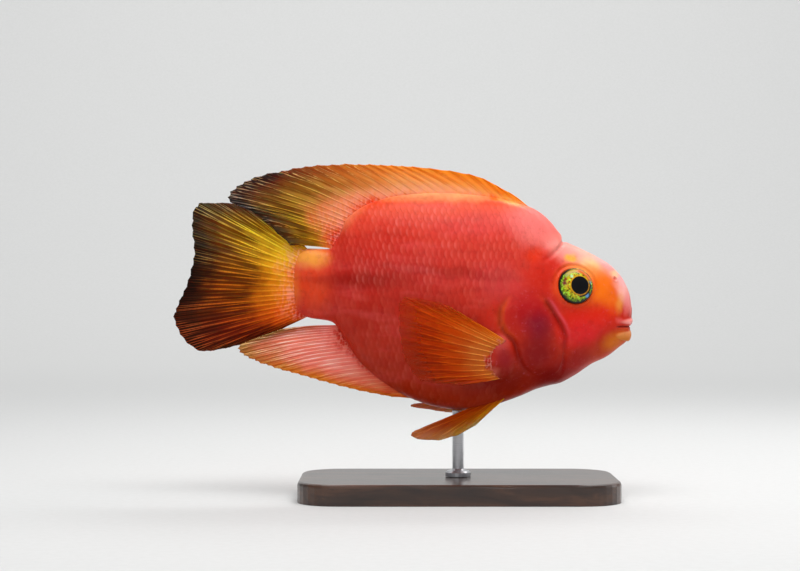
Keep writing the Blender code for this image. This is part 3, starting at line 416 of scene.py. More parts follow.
# The colours of each fin's membrane, its web, and of its rays, from the first ray to the last:
# (place, at the root, halfway, at the tip).
FIN_COLOURS = {
    ("dorsal_fin", "web"): (
        (0.0, (255, 160, 60), (255, 140, 20), (253, 136, 10)),
        (0.3, (255, 172, 114), (255, 150, 66), (240, 136, 30)),
        (0.6, (250, 140, 86), (128, 92, 22), (30, 32, 28)),
        (0.85, (210, 120, 24), (56, 56, 4), (6, 10, 16)),
        (1.0, (200, 110, 20), (110, 84, 4), (40, 38, 10)),
    ),
    ("dorsal_fin", "ray"): (
        (0.0, (255, 190, 90), (255, 160, 50), (255, 160, 40)),
        (0.3, (255, 180, 150), (255, 196, 130), (253, 180, 80)),
        (0.6, (255, 186, 150), (255, 220, 96), (222, 196, 128)),
        (0.85, (250, 180, 90), (250, 206, 50), (140, 142, 140)),
        (1.0, (250, 180, 60), (240, 180, 30), (150, 120, 50)),
    ),
    ("caudal_fin", "web"): (
        (0.0, (255, 200, 10), (170, 130, 4), (70, 70, 44)),
        (0.25, (255, 200, 8), (104, 80, 0), (26, 32, 16)),
        (0.5, (252, 150, 10), (74, 48, 0), (5, 8, 4)),
        (0.75, (232, 90, 4), (56, 12, 0), (24, 16, 2)),
        (1.0, (206, 64, 4), (60, 18, 0), (38, 24, 2)),
    ),
    ("caudal_fin", "ray"): (
        (0.0, (255, 230, 70), (255, 220, 50), (200, 184, 140)),
        (0.25, (255, 232, 60), (255, 222, 50), (180, 170, 104)),
        (0.5, (255, 190, 40), (228, 136, 20), (74, 58, 22)),
        (0.75, (253, 136, 20), (186, 78, 8), (180, 92, 44)),
        (1.0, (244, 110, 14), (176, 74, 6), (150, 82, 28)),
    ),
    ("anal_fin", "web"): (
        (0.0, (190, 44, 10), (226, 92, 14), (222, 124, 4)),
        (0.4, (250, 96, 76), (255, 136, 120), (210, 122, 26)),
        (0.8, (250, 110, 84), (253, 134, 106), (150, 96, 36)),
        (1.0, (210, 80, 60), (180, 90, 50), (140, 100, 50)),
    ),
    ("anal_fin", "ray"): (
        (0.0, (244, 120, 50), (250, 160, 50), (240, 160, 40)),
        (0.5, (255, 166, 156), (255, 222, 212), (244, 184, 96)),
        (1.0, (253, 150, 140), (255, 214, 206), (230, 190, 130)),
    ),
    ("pectoral_fin", "web"): (
        (0.0, (238, 104, 10), (230, 88, 6), (210, 72, 8)),
        (0.5, (198, 66, 4), (186, 56, 0), (170, 44, 0)),
        (1.0, (190, 60, 8), (176, 54, 2), (160, 46, 2)),
    ),
    ("pectoral_fin", "ray"): (
        (0.0, (252, 150, 40), (236, 104, 8), (196, 64, 6)),
        (0.5, (252, 160, 70), (214, 84, 6), (180, 54, 4)),
        (1.0, (252, 150, 50), (214, 90, 8), (172, 56, 4)),
    ),
    ("pelvic_fin", "web"): (
        (0.0, (170, 70, 2), (206, 130, 4), (190, 150, 40)),
        (0.5, (150, 40, 0), (168, 54, 0), (190, 100, 20)),
        (1.0, (150, 30, 2), (170, 44, 2), (190, 90, 30)),
    ),
    ("pelvic_fin", "ray"): (
        (0.0, (240, 150, 20), (250, 190, 20), (244, 214, 120)),
        (0.5, (220, 84, 6), (232, 100, 4), (244, 176, 90)),
        (1.0, (220, 70, 10), (240, 90, 10), (240, 150, 90)),
    ),
}
IRIS_COLOURS = (
    (0.5, (214, 160, 0)), (0.64, (206, 186, 0)), (0.78, (140, 164, 0)), (0.9, (84, 110, 2)),
    (1.0, (30, 36, 4)),
)
WOOD_COLOURS = ((0.3, (34, 20, 13)), (0.5, (58, 35, 22)), (0.62, (78, 48, 30)), (0.8, (46, 27, 17)))
# The shader's plain numbers on moist skin and scales, and on the fins.
MOIST = {
    "Roughness": 0.4, "Specular_IOR_Level": 0.1, "Coat_Weight": 0.06, "Coat_Roughness": 0.16,
    "Subsurface_Weight": 0.1, "Subsurface_Scale": 0.002,
}
MEMBRANE = {
    "Roughness": 0.45, "Specular_IOR_Level": 0.05, "Subsurface_Weight": 0.4, "Subsurface_Scale": 0.002,
}


def srgb(red, green, blue):
    """A colour given as on a screen, from 0 to 255, as a shader needs it."""
    parts = np.array([red, green, blue]) / 255.0
    linear = np.where(parts <= 0.04045, parts / 12.92, ((parts + 0.055) / 1.055) ** 2.4)
    return (*linear.tolist(), 1.0)


def true_place(x, z, depth):
    """Where a point really is that stands nearer to the camera than the middle plane by depth."""
    share = 1 - depth / VIEW_DISTANCE
    return VIEW_X + (x - VIEW_X) * share, VIEW_Z + (z - VIEW_Z) * share


# Smooth curves and distances.


def cubic_rows(rows, at):
    """The rows of a table as smooth functions of their place in it, from 0 to 1, that never
    overshoot them."""
    rows, at = np.asarray(rows, float), np.asarray(at, float) * (len(rows) - 1)
    rise = np.diff(rows, axis=0)
    product, total = rise[1:] * rise[:-1], rise[1:] + rise[:-1]
    bend = np.divide(2 * product, total, out=np.zeros_like(total), where=product > 0)
    slope = np.concatenate([rise[:1], bend, rise[-1:]])
    i = np.clip(at.astype(int), 0, len(rows) - 2)
    t = (at - i)[..., None]
    value = rows[i] * (1 + 2 * t) * (1 - t) ** 2 + rows[i + 1] * t * t * (3 - 2 * t)
    return value + t * (1 - t) * (slope[i] * (1 - t) - slope[i + 1] * t)


def smooth(low, high, value):
    t = np.clip((value - low) / (high - low), 0, 1)
    return t * t * (3 - 2 * t)


def bell(value, width):
    return np.exp(-((value / width) ** 2))


def dip(distance, before, after):
    """A bell with its own width on each side of a line."""
    return bell(distance, np.where(distance < 0, before, after))


def soft_max(a, b, soft):
    share = np.clip(0.5 + 0.5 * (a - b) / soft, 0, 1)
    return b + (a - b) * share + soft * share * (1 - share)


def unit(vectors):
    return vectors / np.maximum(np.linalg.norm(vectors, axis=-1, keepdims=True), 1e-9)


def from_piece(x, z, start, end):
    """For a straight piece of a line: how far along it the place nearest to each point is, from 0 to
    1, and the way from there to the point."""
    way = end - start
    t = np.clip(((x - start[0]) * way[0] + (z - start[1]) * way[1]) / (way @ way), 0, 1)
    return t, x - start[0] - t * way[0], z - start[1] - t * way[1]


def line_distance(x, z, line):
    """Distance from a line of points, positive on its right, and how far along it the nearest
    place is, from 0 to 1."""
    line = cubic_rows(line, np.linspace(0, 1, LINE_POINTS))
    signed, along = np.full(x.shape, FAR), np.zeros(x.shape)
    for k, (start, end) in enumerate(zip(line[:-1], line[1:])):
        t, across_x, across_z = from_piece(x, z, start, end)
        distance = np.hypot(across_x, across_z)
        near = distance < np.abs(signed)
        right = across_x * (end[1] - start[1]) >= across_z * (end[0] - start[0])
        signed = np.where(near, np.where(right, distance, -distance), signed)
        along = np.where(near, (k + t) / (len(line) - 1), along)
    return signed, along


def outline_depth(x, z, outline):
    """How far inside a closed outline each point is, negative outside it."""
    nearest = np.full(x.shape, FAR)
    inside = np.zeros(x.shape, bool)
    for start, end in zip(outline, np.roll(outline, -1, axis=0)):
        nearest = np.minimum(nearest, np.hypot(*from_piece(x, z, start, end)[1:]))
        way = end - start
        crosses = (start[1] > z) != (end[1] > z)
        if way[1]:
            inside ^= crosses & (x < start[0] + (z - start[1]) * way[0] / way[1])
    return np.where(inside, nearest, -nearest)


def closed_curve(points, count):
    """A smooth closed curve through points."""
    points = np.asarray(points, float)
    n = len(points)
    found = []
    for u in np.linspace(0, n, count, endpoint=False):
        i, t = int(u), u - int(u)
        a, b, c, d = (points[(i + k - 1) % n] for k in range(4))
        bend, twist = 2 * a - 5 * b + 4 * c - d, 3 * b - a - 3 * c + d
        found.append(0.5 * (2 * b + (c - a) * t + bend * t**2 + twist * t**3))
    return np.array(found)


# The smooth body under the relief.


def body_points(place, angle):
    """Points of the body. A place runs from 0 at the tail to 1 at the lips, an angle from 0 at the
    back, down the left side."""
    rows = cubic_rows(RIBS, place)
    back, belly, half_width = rows[..., 0:2], rows[..., 2:4], rows[..., 4]
    middle = back + (belly - back) * WIDEST
    cosine, sine = np.cos(angle), np.sin(angle)
    upper = cosine > 0
    reach = np.where(upper[..., None], back - middle, middle - belly)
    fullness = np.where(upper, rows[..., 5], rows[..., 6])
    flat = middle + reach * cosine[..., None]
    side = half_width * np.sign(sine) * np.abs(sine) ** fullness
    return np.stack([flat[..., 0], side, flat[..., 1]], -1)


def body_normals(place, angle, step=1e-4):
    """The normals of the body, from points a small step apart."""
    along = body_points(place + step, angle) - body_points(place - step, angle)
    around = body_points(place, angle + step) - body_points(place, angle - step)
    return unit(np.cross(along, around))


def smooth_body():
    """The grid of the skin's points before its relief, closed over the nose by shrinking rings."""
    places = np.interp(np.linspace(0, 1, SKIN_STATIONS), (0, TRUNK_RINGS, 1), (0, 0.5, 1))
    even = np.linspace(0, 2 * math.pi, SKIN_AROUND, endpoint=False)
    angles = even - 0.1 * np.sin(2 * even)
    points = body_points(places[:, None], angles)
    middle = (points[-1].min(axis=0) + points[-1].max(axis=0)) / 2
    rings = []
    for turn in np.linspace(0, math.pi / 2, NOSE_RINGS + 2)[1:-1]:
        ring = middle + (points[-1] - middle) * math.cos(turn)
        rings.append(ring + np.array([NOSE_DOME * math.sin(turn), 0, 0]))
    return np.concatenate([points, np.array(rings)])


def grid_normals(points):
    along = np.gradient(points, axis=0)
    across = np.roll(points, -1, axis=1) - np.roll(points, 1, axis=1)
    return unit(np.cross(along, across))


def grid_faces(rows, columns, closed):
    """Quads of a grid whose points are numbered row by row."""
    index = np.arange(rows * columns).reshape(rows, columns)
    if closed:
        index = np.column_stack([index, index[:, 0]])
    corners = [index[:-1, :-1], index[1:, :-1], index[1:, 1:], index[:-1, 1:]]
    return np.stack(corners, -1).reshape(-1, 4)


def tube_faces(rows, columns):
    """Quads of a closed grid, and triangles that close its ends with two more points."""
    j = np.arange(columns)
    k, last = (j + 1) % columns, (rows - 1) * columns
    end = np.full(columns, rows * columns)
    fans = np.vstack([np.stack([end, j, k], -1), np.stack([end + 1, last + k, last + j], -1)])
    return grid_faces(rows, columns, True).tolist() + fans.tolist()


def sheet_faces(columns, rows):
    """Quads of a closed sheet of two grids, one after the other, and of its rim."""
    front, far = grid_faces(columns, rows, False), columns * rows
    index = np.arange(far).reshape(columns, rows)
    rim = np.concatenate([index[:, 0], index[-1, 1:], index[-2::-1, -1], index[0, -2:0:-1]])
    after = np.roll(rim, -1)
    return np.vstack([front, front[:, ::-1] + far, np.stack([after, rim, far + rim, far + after], -1)])


def tree_of_grid(points):
    """The smooth body as a tree that lines can be cast at."""
    rows, columns = points.shape[:2]
    nose = list(range((rows - 1) * columns, rows * columns))
    faces = grid_faces(rows, columns, True).tolist() + [nose]
    return BVHTree.FromPolygons(points.reshape(-1, 3).tolist(), faces)


def on_skin(tree, x, z, side):
    """The place on one flank at x and z, and the normal there."""
    hit, normal = tree.ray_cast(Vector((x, side * OUTSIDE, z)), Vector((0, -side, 0)))[:2]
    return np.array(hit), np.array(normal)


def seen_on_skin(tree, seen, depth, side):
    return on_skin(tree, *true_place(*seen, depth), side)


# The skin's relief.


def lip_path(tree, lip):
    """Points round the snout just under the skin, from one mouth corner to the other."""
    path = []
    spread = math.radians(LIP_SPREAD)
    for turn in np.linspace(-spread, spread, LIP_STEPS):
        lift = lip["rise"] * (math.cos(turn) - math.cos(spread))
        way = Vector((math.cos(turn), math.sin(turn), 0))
        start = Vector((LIP_FOCUS_X, 0, lip["level"] + lift)) + way * OUTSIDE
        path.append(np.array(tree.ray_cast(start, -way)[0] - way * lip["sink"]))
    return np.array(path)


def lip_relief(tree, lip, point, normal):
    """How far the skin moves out along its normal to lie on a lip's soft roll."""
    path = lip_path(tree, lip)
    turns = np.linspace(-1, 1, LIP_STEPS) * math.radians(LIP_SPREAD)
    turn = np.arctan2(point[..., 1], point[..., 0] - LIP_FOCUS_X)

    def at_turn(values):
        return np.stack([np.interp(turn, turns, values[:, k]) for k in range(3)], -1)

    way = unit(np.gradient(path, axis=0))
    outward = at_turn(np.stack([way[:, 1], -way[:, 0], np.zeros(LIP_STEPS)], -1))
    offset = point - at_turn(path)
    middle = np.cos(np.clip(turn / turns[-1], -1, 1) * math.pi / 2) ** LIP_TAPER
    share = LIP_CORNER_SHARE + (1 - LIP_CORNER_SHARE) * middle
    share *= 1 - smooth(turns[-1], turns[-1] * 1.14, np.abs(turn))
    half, half_up = (size * np.maximum(share, 1e-3) for size in lip["half"])
    a, up_a = (offset * outward).sum(-1) / half, offset[..., 2] / half_up
    b, up_b = (normal * outward).sum(-1) / half, normal[..., 2] / half_up
    square, cross = b * b + up_b * up_b, a * b + up_a * up_b
    room = cross * cross - square * (a * a + up_a * up_a - 1)
    reach = (-cross + np.sqrt(np.maximum(room, 0))) / square
    return np.where((room > 0) & (point[..., 0] > LIP_FOCUS_X) & (reach < 4), reach, -1.0)


def eye_places(tree):
    """Each eyeball's centre, axis and side."""
    found = {}
    for name, side in SIDES.items():
        point, normal = seen_on_skin(tree, EYE_SEEN, EYE_SEEN_DEPTH, side)
        axis = unit(np.array([0, side, 0]) * (1 - EYE_TURN) + normal * EYE_TURN)
        found[name] = (point - axis * EYE_SUNK, axis, side)
    return found


def from_axis(point, centre, axis):
    """Distance from an axis and place along it."""
    offset = point - centre
    along = offset @ axis
    return np.linalg.norm(offset - along[..., None] * axis, axis=-1), along


def head_lines(point):
    """Where the folds of the head run: for each its distance and how much of it there is."""
    x, y, z = np.moveaxis(point, -1, 0)
    flank = smooth(*FLANK_Y, np.abs(y))
    crease, along = line_distance(x, z, NAPE_CREASE)
    found = {"nape": (crease, 1 - smooth(0.3, 1, along))}
    outline = np.array([true_place(*p, GILL_DEPTH) for p in closed_curve(GILL_OUTLINE, GILL_POINTS)])
    inside = outline_depth(x, z, outline)
    rear = 1 - smooth(*GILL_FADE_X, x - GILL_FADE_LEAN * (z - GILL_FADE_Z))
    found["gill"] = (inside, flank * rear * (1 - smooth(*GILL_TOP, z)))
    found["plate"] = (inside, flank * (1 - smooth(*PLATE_TOP, z)) * smooth(*PLATE_FOOT, z))
    groove, along = line_distance(x, z, [true_place(*p, GROOVE_DEPTH) for p in GROOVE])
    ends = smooth(0.0, 0.12, along) * (1 - 0.5 * smooth(0.4, 0.7, along) - 0.5 * smooth(0.8, 1.0, along))
    found["groove"] = (groove, ends * flank)
    ends = smooth(0.0, 0.15, along) * (1 - smooth(0.35, 0.65, along))
    found["ridge"] = (groove + RIDGE_AHEAD, ends * flank)
    fold, along = line_distance(x, z, [true_place(*p, JAW_FOLD_DEPTH) for p in JAW_FOLD])
    found["jaw"] = (fold, smooth(0.0, 0.2, along) * (1 - smooth(0.7, 1, along)))
    return found


def face_lines(tree, point):
    """Distances round the eyes and nostrils, as for the folds of the head."""
    y, z = point[..., 1], point[..., 2]
    eye, nostril, above = np.full(y.shape, FAR), np.full(y.shape, FAR), np.zeros(y.shape)
    for centre, axis, side in eye_places(tree).values():
        out, depth = from_axis(point, centre, axis)
        here = (y * side > 0) & (np.abs(depth) < EYE_REACH)
        eye = np.where(here, out, eye)
        above = np.where(here, smooth(-2.0, 5.0, z - centre[2]), above)
        centre, axis = seen_on_skin(tree, NOSTRIL_SEEN, NOSTRIL_SEEN_DEPTH, side)
        nostril = np.where(y * side > 0, from_axis(point, centre, axis)[0], nostril)
    return {"eye": (eye, 1.0), "brow": (eye, above), "nostril": (nostril, 1.0)}


def relief(tree, point, normal):
    """How far the skin stands out from the smooth body."""
    x, y, z = np.moveaxis(point, -1, 0)
    lines = {**head_lines(point), **face_lines(tree, point)}
    height = np.zeros(x.shape)
    for name, rise, middle, before, after in FOLDS:
        distance, share = lines[name]
        height += rise * dip(distance - middle, before, after) * share
    for name, rise, start, end in STEPS:
        distance, share = lines[name]
        height += rise * smooth(start, end, distance) * share
    for side in SIDES.values():
        centre = seen_on_skin(tree, PECTORAL_BASE, PECTORAL_DEPTH, side)[0]
        half_x, half_y, half_z = PECTORAL_BASE_RADII
        room = 1 - ((x - centre[0]) / half_x) ** 2 - ((z - centre[2]) / half_z) ** 2
        lobe = half_y * np.sqrt(np.maximum(0, room)) - PECTORAL_BASE_SINK
        lobe = soft_max(lobe, 0.0, PECTORAL_BASE_SOFT) - PECTORAL_BASE_SOFT / 4
        height += np.where(y * side > 0, lobe, 0.0)
    for lip in (UPPER_LIP, LOWER_LIP):
        rolled = soft_max(height, lip_relief(tree, lip, point, normal), LIP_SOFT)
        height = np.where(x > LIP_FOCUS_X - 2, rolled, height)
    turn = np.abs(np.arctan2(y, x - LIP_FOCUS_X))
    gape = (1 - smooth(*GAPE_ENDS, turn)) * (x > LIP_FOCUS_X)
    return height - GAPE_DEPTH * bell(z - MOUTH_LEVEL, GAPE_HALF) * gape


# Meshes.


def add_object(name, data):
    obj = bpy.data.objects.new(name, data)
    bpy.context.scene.collection.objects.link(obj)
    return obj


def new_mesh(name, points, faces):
    mesh = bpy.data.meshes.new(name)
    metres = np.asarray(points, np.float32) * MM
    mesh.from_pydata(metres.tolist(), [], faces, shade_flat=False)
    return add_object(name, mesh)


def corner_values(obj, values):
    """Values given for each vertex, as values for each face corner."""
    index = np.zeros(len(obj.data.loops), np.int32)
    obj.data.loops.foreach_get("vertex_index", index)
    return np.asarray(values)[index]


def set_uv(obj, name, corners):
    """corners holds a place on the map for each corner of each face."""
    layer = obj.data.uv_layers.new(name=name)
    layer.data.foreach_set("uv", np.asarray(corners, np.float32).ravel())


def set_values(obj, name, values):
    layer = obj.data.attributes.new(name, "FLOAT", "POINT")
    layer.data.foreach_set("value", np.asarray(values, np.float32))


def cover(mesh, look):
    mesh.materials.clear()
    mesh.materials.append(look)


def dress(obj, look, slot, *nodes):
    """Gives a piece its material, its body and the solids that it stands for. The slot is not used."""
    cover(obj.data, look)
    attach(obj, BODY)
    if nodes:
        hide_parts(*nodes)


def skin_masks(tree, grid, normals):
    """Shares from 0 to 1 of what colours the folds and lips of the head: painted shade in the creases and
    along the mouth, and a painted highlight along the ridge.
    """
    lines = head_lines(grid)
    x, z = grid[..., 0], grid[..., 2]
    # Painted shade along the line of the mouth.
    masks = {"fold": 0.8 * bell(z - MOUTH_LEVEL, 0.4) * smooth(60.0, 63.0, x)}
    for mask, name, strength, middle, before, after in FOLD_MASKS:
        distance, share = lines[name]
        found = strength * dip(distance - middle, before, after) * share
        masks[mask] = np.maximum(masks.get(mask, 0.0), found)
    masks["rim"] *= smooth(60.0, 67.0, z)
    for name, lip in (("upper_lip_share", UPPER_LIP), ("lower_lip_share", LOWER_LIP)):
        masks[name] = smooth(-0.2, 0.35, lip_relief(tree, lip, grid, normals))
    return masks


def past_seam(corners, quads):
    """Takes the faces that close the ring past the end of the map and not back across it."""
    for faces in (corners[: 4 * quads].reshape(-1, 4, 2), corners[4 * quads :].reshape(-1, 3, 2)):
        turn = faces[..., 1]
        turn[(turn < 0.1) & (turn.max(axis=1, keepdims=True) > 0.9)] = MAP_SEAM
    return corners


def make_skin(grid, tree, look):
    """One skin over head, trunk and tail stalk, with every fold of the head in its surface."""
    normals = grid_normals(grid)
    points = grid + normals * (relief(tree, grid, normals) - COAT_DEPTH)[..., None]
    rows, columns = points.shape[:2]
    ends = [points[0].mean(axis=0), points[-1].mean(axis=0)]
    obj = new_mesh("skin", np.vstack([points.reshape(-1, 3), ends]), tube_faces(rows, columns))
    place, turn = (np.linspace(*SKIN_MAP, count) for count in (rows, columns))
    spots = np.stack(np.meshgrid(place, turn, indexing="ij"), -1).reshape(-1, 2)
    values = np.vstack([spots, SKIN_MAP_ENDS])
    set_uv(obj, "OFBake", past_seam(corner_values(obj, values), (rows - 1) * columns))
    for name, mask in skin_masks(tree, grid, normals).items():
        set_values(obj, name, [*mask.ravel(), 0.0, 0.0])
    dress(obj, look, "skin", *SKIN_NODES)


# The eyes.


def make_eye(name, centre, axis, side, look):
    """A flattened eyeball. Its map called iris has the nose to the right and the back up."""
    out = Vector(axis)
    nose = (Vector((1, 0, 0)) - out * out.x).normalized()
    up = out.cross(nose) * -side
    turns = np.linspace(0, 2 * math.pi, EYE_SEGMENTS, endpoint=False)
    ring, turn = np.meshgrid(np.arange(1, EYE_RINGS) / EYE_RINGS, turns, indexing="ij")
    way = np.stack([np.cos(turn), np.sin(turn)], -1)
    flat = way * np.sin(math.pi * ring)[..., None]
    depth = np.where(ring < 0.5, EYE_BULGE, EYE_DEPTH) * np.cos(math.pi * ring)
    groove, radius, width = IRIS_GROOVE
    depth -= groove * bell(EYE_RADIUS * np.sin(math.pi * ring) - radius, width) * (ring < 0.5)
    points = centre + flat @ np.array([nose, up]) * EYE_RADIUS + depth[..., None] * axis
    ends = [centre + axis * EYE_BULGE, centre - axis * EYE_DEPTH]
    faces = tube_faces(EYE_RINGS - 1, EYE_SEGMENTS)
    if side < 0:
        faces = [face[::-1] for face in faces]
    obj = new_mesh(f"eyeball_{name}", np.vstack([points.reshape(-1, 3), ends]), faces)
    unwrap = 0.5 + 0.49 * way * ring[..., None]
    for layer, places, ends in (
        ("OFBake", unwrap, [(0.5, 0.5), (0.99, 0.5)]),
        ("iris", 0.5 + 0.5 * flat, [(0.5, 0.5), (0.5, 0.5)]),
    ):
        set_uv(obj, layer, corner_values(obj, np.vstack([places.reshape(-1, 2), ends])))
    dress(obj, look, "eyes", f"eye_{name}")


# The fins.


def ray_crest(plan, number, between, along, pitch, draw):
    """How close each point is to a ray's crest, from 0 on the membrane to 1. Rays branch twice on
    their way out."""
    shift = draw.uniform(-BRANCH_RAGGED, BRANCH_RAGGED, plan.rays)
    first = (plan.branch + shift)[number][:, None]
    spread = FIRST_SPREAD[0] * smooth(first, first + FIRST_SPREAD[1], along)
    fork = SECOND_SPREAD[0] * smooth(first + SECOND_SPREAD[1], 1.0, along)
    nearest = np.abs(np.abs(between - spread) - fork) * pitch
    room = 0.3 * pitch * (1 - 0.6 * smooth(first, 1, along))
    half = np.minimum(plan.half * (1 - 0.5 * along), room)
    return np.sqrt(np.maximum(0, 1 - (nearest / half) ** 2))


def make_fin(name, plan, roots, tips, sway, look, node):
    """A thin closed membrane whose branched rays rise from both its faces. Columns run from the
    first ray to the last, and rows from root to tip."""
    draw = np.random.default_rng(len(name) * 31 + plan.rays)
    gaps = plan.rays - 1
    places = np.linspace(0, 1, gaps * plan.fine + 1)
    column = places[:, None]
    number = np.rint(places * gaps).astype(int)
    between = np.abs(places * gaps - number)[:, None]
    root, tip = cubic_rows(roots, places), cubic_rows(tips, places)
    root -= unit(tip - root) * ROOT_REACH
    length = np.linalg.norm(tip - root, axis=1)[:, None]
    notch = plan.notch / np.maximum(length, 4 * plan.notch + 1) * (2 * between) ** NOTCH_POWER
    ragged = 1 - TIP_RAGGED * draw.uniform(0, 1, plan.rays)[number][:, None]
    along = np.linspace(0, 1, plan.rows) ** ROW_POWER * (1 - notch) * ragged
    points = root[:, None] + (tip - root)[:, None] * along[..., None]
    points[..., 2] += plan.bow * 4 * along * (1 - along) * length / length.max()
    points[..., 1] += sway(column, along)
    pitch = np.linalg.norm(np.gradient(points, places, axis=0), axis=-1) / gaps
    crest = ray_crest(plan, number, between, along, pitch, draw)
    ripple = np.sin(2 * math.pi * gaps * column) * np.minimum(1, pitch / 3)
    points[..., 1] += MEMBRANE_RIPPLE * along * ripple
    normal = unit(np.cross(np.gradient(points, axis=0), np.gradient(points, axis=1)))
    height = plan.height * (plan.front + (1 - plan.front) * smooth(*FRONT_REACH, column))
    half = (MEMBRANE_HALF + height * crest) * (1 - (1 - FIN_TIP_SHARE) * along)
    sheath = np.sin(math.pi * np.clip(column, 0.02, 0.98)) ** 0.5
    sheath = (1 - smooth(*SHEATH_REACH, along)) * sheath
    rise = normal * (half + plan.sheath * sheath)[..., None]
    faces = sheet_faces(len(places), plan.rows).tolist()
    obj = new_mesh(name, np.vstack([points + rise, points - rise]).reshape(-1, 3), faces)
    grid = np.stack(np.broadcast_arrays(column, along), -1).reshape(-1, 2)
    halves = [grid * FIN_MAP_SIZE + (left, FIN_MAP_BOTTOM) for left in FIN_MAP_LEFT]
    set_uv(obj, "OFBake", corner_values(obj, np.vstack(halves)))
    set_uv(obj, "fin", corner_values(obj, np.vstack([grid, grid])))
    set_values(obj, "ray", np.tile(crest.ravel(), 2))
    dress(obj, look, "fins", node)


def dorsal_sway(place, along):
    """How far the fin bends to the left, by place across it and along its rays."""
    return along**1.5 * (-3.0 * place**2 + 0.5 * np.sin(9 * place))


def anal_sway(place, along):
    return along**1.4 * (0.5 * np.sin(8 * place) - 2.0 * place)


def caudal_sway(place, along):
    fold = bell(place - 0.47, 0.2)
    return along**1.3 * (-6.0 * fold + 2.5 + 0.7 * np.sin(14 * place))


def no_sway(place, along):
    return 0.0 * place * along


def flat_guides(guides):
    """Roots and tips of a fin that stands in the middle plane."""
    guides = np.asarray(guides, float)
    return [np.insert(guides[:, start : start + 2], 1, 0.0, axis=1) for start in (0, 2)]


def pectoral_guides(tree, side):
    roots, tips = [], []
    for root_x, root_z, tip_x, tip_z, lean in PECTORAL_GUIDES:
        root = seen_on_skin(tree, (root_x, root_z), PECTORAL_DEPTH, side)[0]
        root[1] += side * PECTORAL_ROOT_OUT
        tip_x, tip_z = true_place(tip_x, tip_z, PECTORAL_DEPTH + lean)
        roots.append(root)
        tips.append((tip_x, root[1] + side * lean, tip_z))
    return roots, tips


def pelvic_guides(side, tips):
    front, rear = np.array(PELVIC_ROOTS)
    roots = [(front + (rear - front) * share) * (1, side, 1) for share in np.linspace(0, 1, len(tips))]
    return roots, [(x, side * y, z) for x, z, y in tips]


def make_fins(tree, looks):
    for kind, guides, sway in (
        ("dorsal_fin", DORSAL_GUIDES, dorsal_sway),
        ("anal_fin", ANAL_GUIDES, anal_sway),
        ("caudal_fin", CAUDAL_GUIDES, caudal_sway),
    ):
        make_fin(f"{kind}_rayed", FIN_PLANS[kind], *flat_guides(guides), sway, looks[kind], kind)
    for name, side in SIDES.items():
        for kind, guides in (
            ("pectoral_fin", pectoral_guides(tree, side)),
            ("pelvic_fin", pelvic_guides(side, PELVIC_TIPS[name])),
        ):
            piece, node = f"{kind}_rayed_{name}", f"{kind}_{name}"
            make_fin(piece, FIN_PLANS[kind], *guides, no_sway, looks[kind], node)


# The scales.


def lengths_along(points):
    """Length along each row of points up to each of them."""
    steps = np.linalg.norm(np.diff(points, axis=-2), axis=-1)
    return np.insert(np.cumsum(steps, axis=-1), 0, 0.0, axis=-1)


def arc_table():
    """Places along the body and their lengths from the tail, and for each place the angle at each
    length round the body from its widest line, downwards, and the lengths of back and belly."""
    places = np.linspace(0, ARC_PART, ARC_PLACES)
    angles = np.linspace(-ARC_MARGIN, math.pi + ARC_MARGIN, ARC_ANGLES)
    points = body_points(places[:, None], angles)
    back, middle, belly = (np.argmin(np.abs(angles - turn)) for turn in (0, math.pi / 2, math.pi))
    arcs = lengths_along(points)
    arcs -= arcs[:, middle : middle + 1]
    steps = np.arange(-ARC_REACH, ARC_REACH + ARC_STEP / 2, ARC_STEP)
    table = np.array([np.interp(steps, row, angles) for row in arcs])
    return places, lengths_along(points[:, middle]), table, arcs[:, [back, belly]]


def angle_at(table, row, length):
    """The angle at a length round the body, between the rows of the table."""
    low = np.clip(np.floor(row).astype(int), 0, len(table) - 2)
    share = np.clip(row - low, 0, 1)
    at = np.clip((length + ARC_REACH) / ARC_STEP, 0, table.shape[1] - 1.001)
    k = at.astype(int)
    t = at - k
    near = table[low, k] * (1 - t) + table[low, k + 1] * t
    far = table[low + 1, k] * (1 - t) + table[low + 1, k + 1] * t
    return near * (1 - share) + far * share


def scale_centres(run, limits, draw):
    """Where each scale lies: length along the body and round it, in staggered columns."""
    found = []
    for column, along in enumerate(np.arange(SCALE_FIRST, run[-1], SCALE_STEP)):
        top, bottom = limits[int(np.interp(along, run, np.arange(len(run))))]
        rows = np.arange(math.floor(top / SCALE_ROW) - 1, math.ceil(bottom / SCALE_ROW) + 2)
        for number in rows[(rows + column) % 2 == 0]:
            around = number * SCALE_ROW
            if top - SCALE_PAST <= around <= bottom + SCALE_PAST:
                shift_along, shift_around = (draw.normal(0, spread) for spread in SCALE_SHIFTS)
                found.append((along + shift_along, around + shift_around))
    return np.array(found)


def scale_room(point):
    """How far behind the front edge of the scales a point is."""
    return np.interp(point[..., 2], *zip(*SCALE_FRONT)) - point[..., 0]


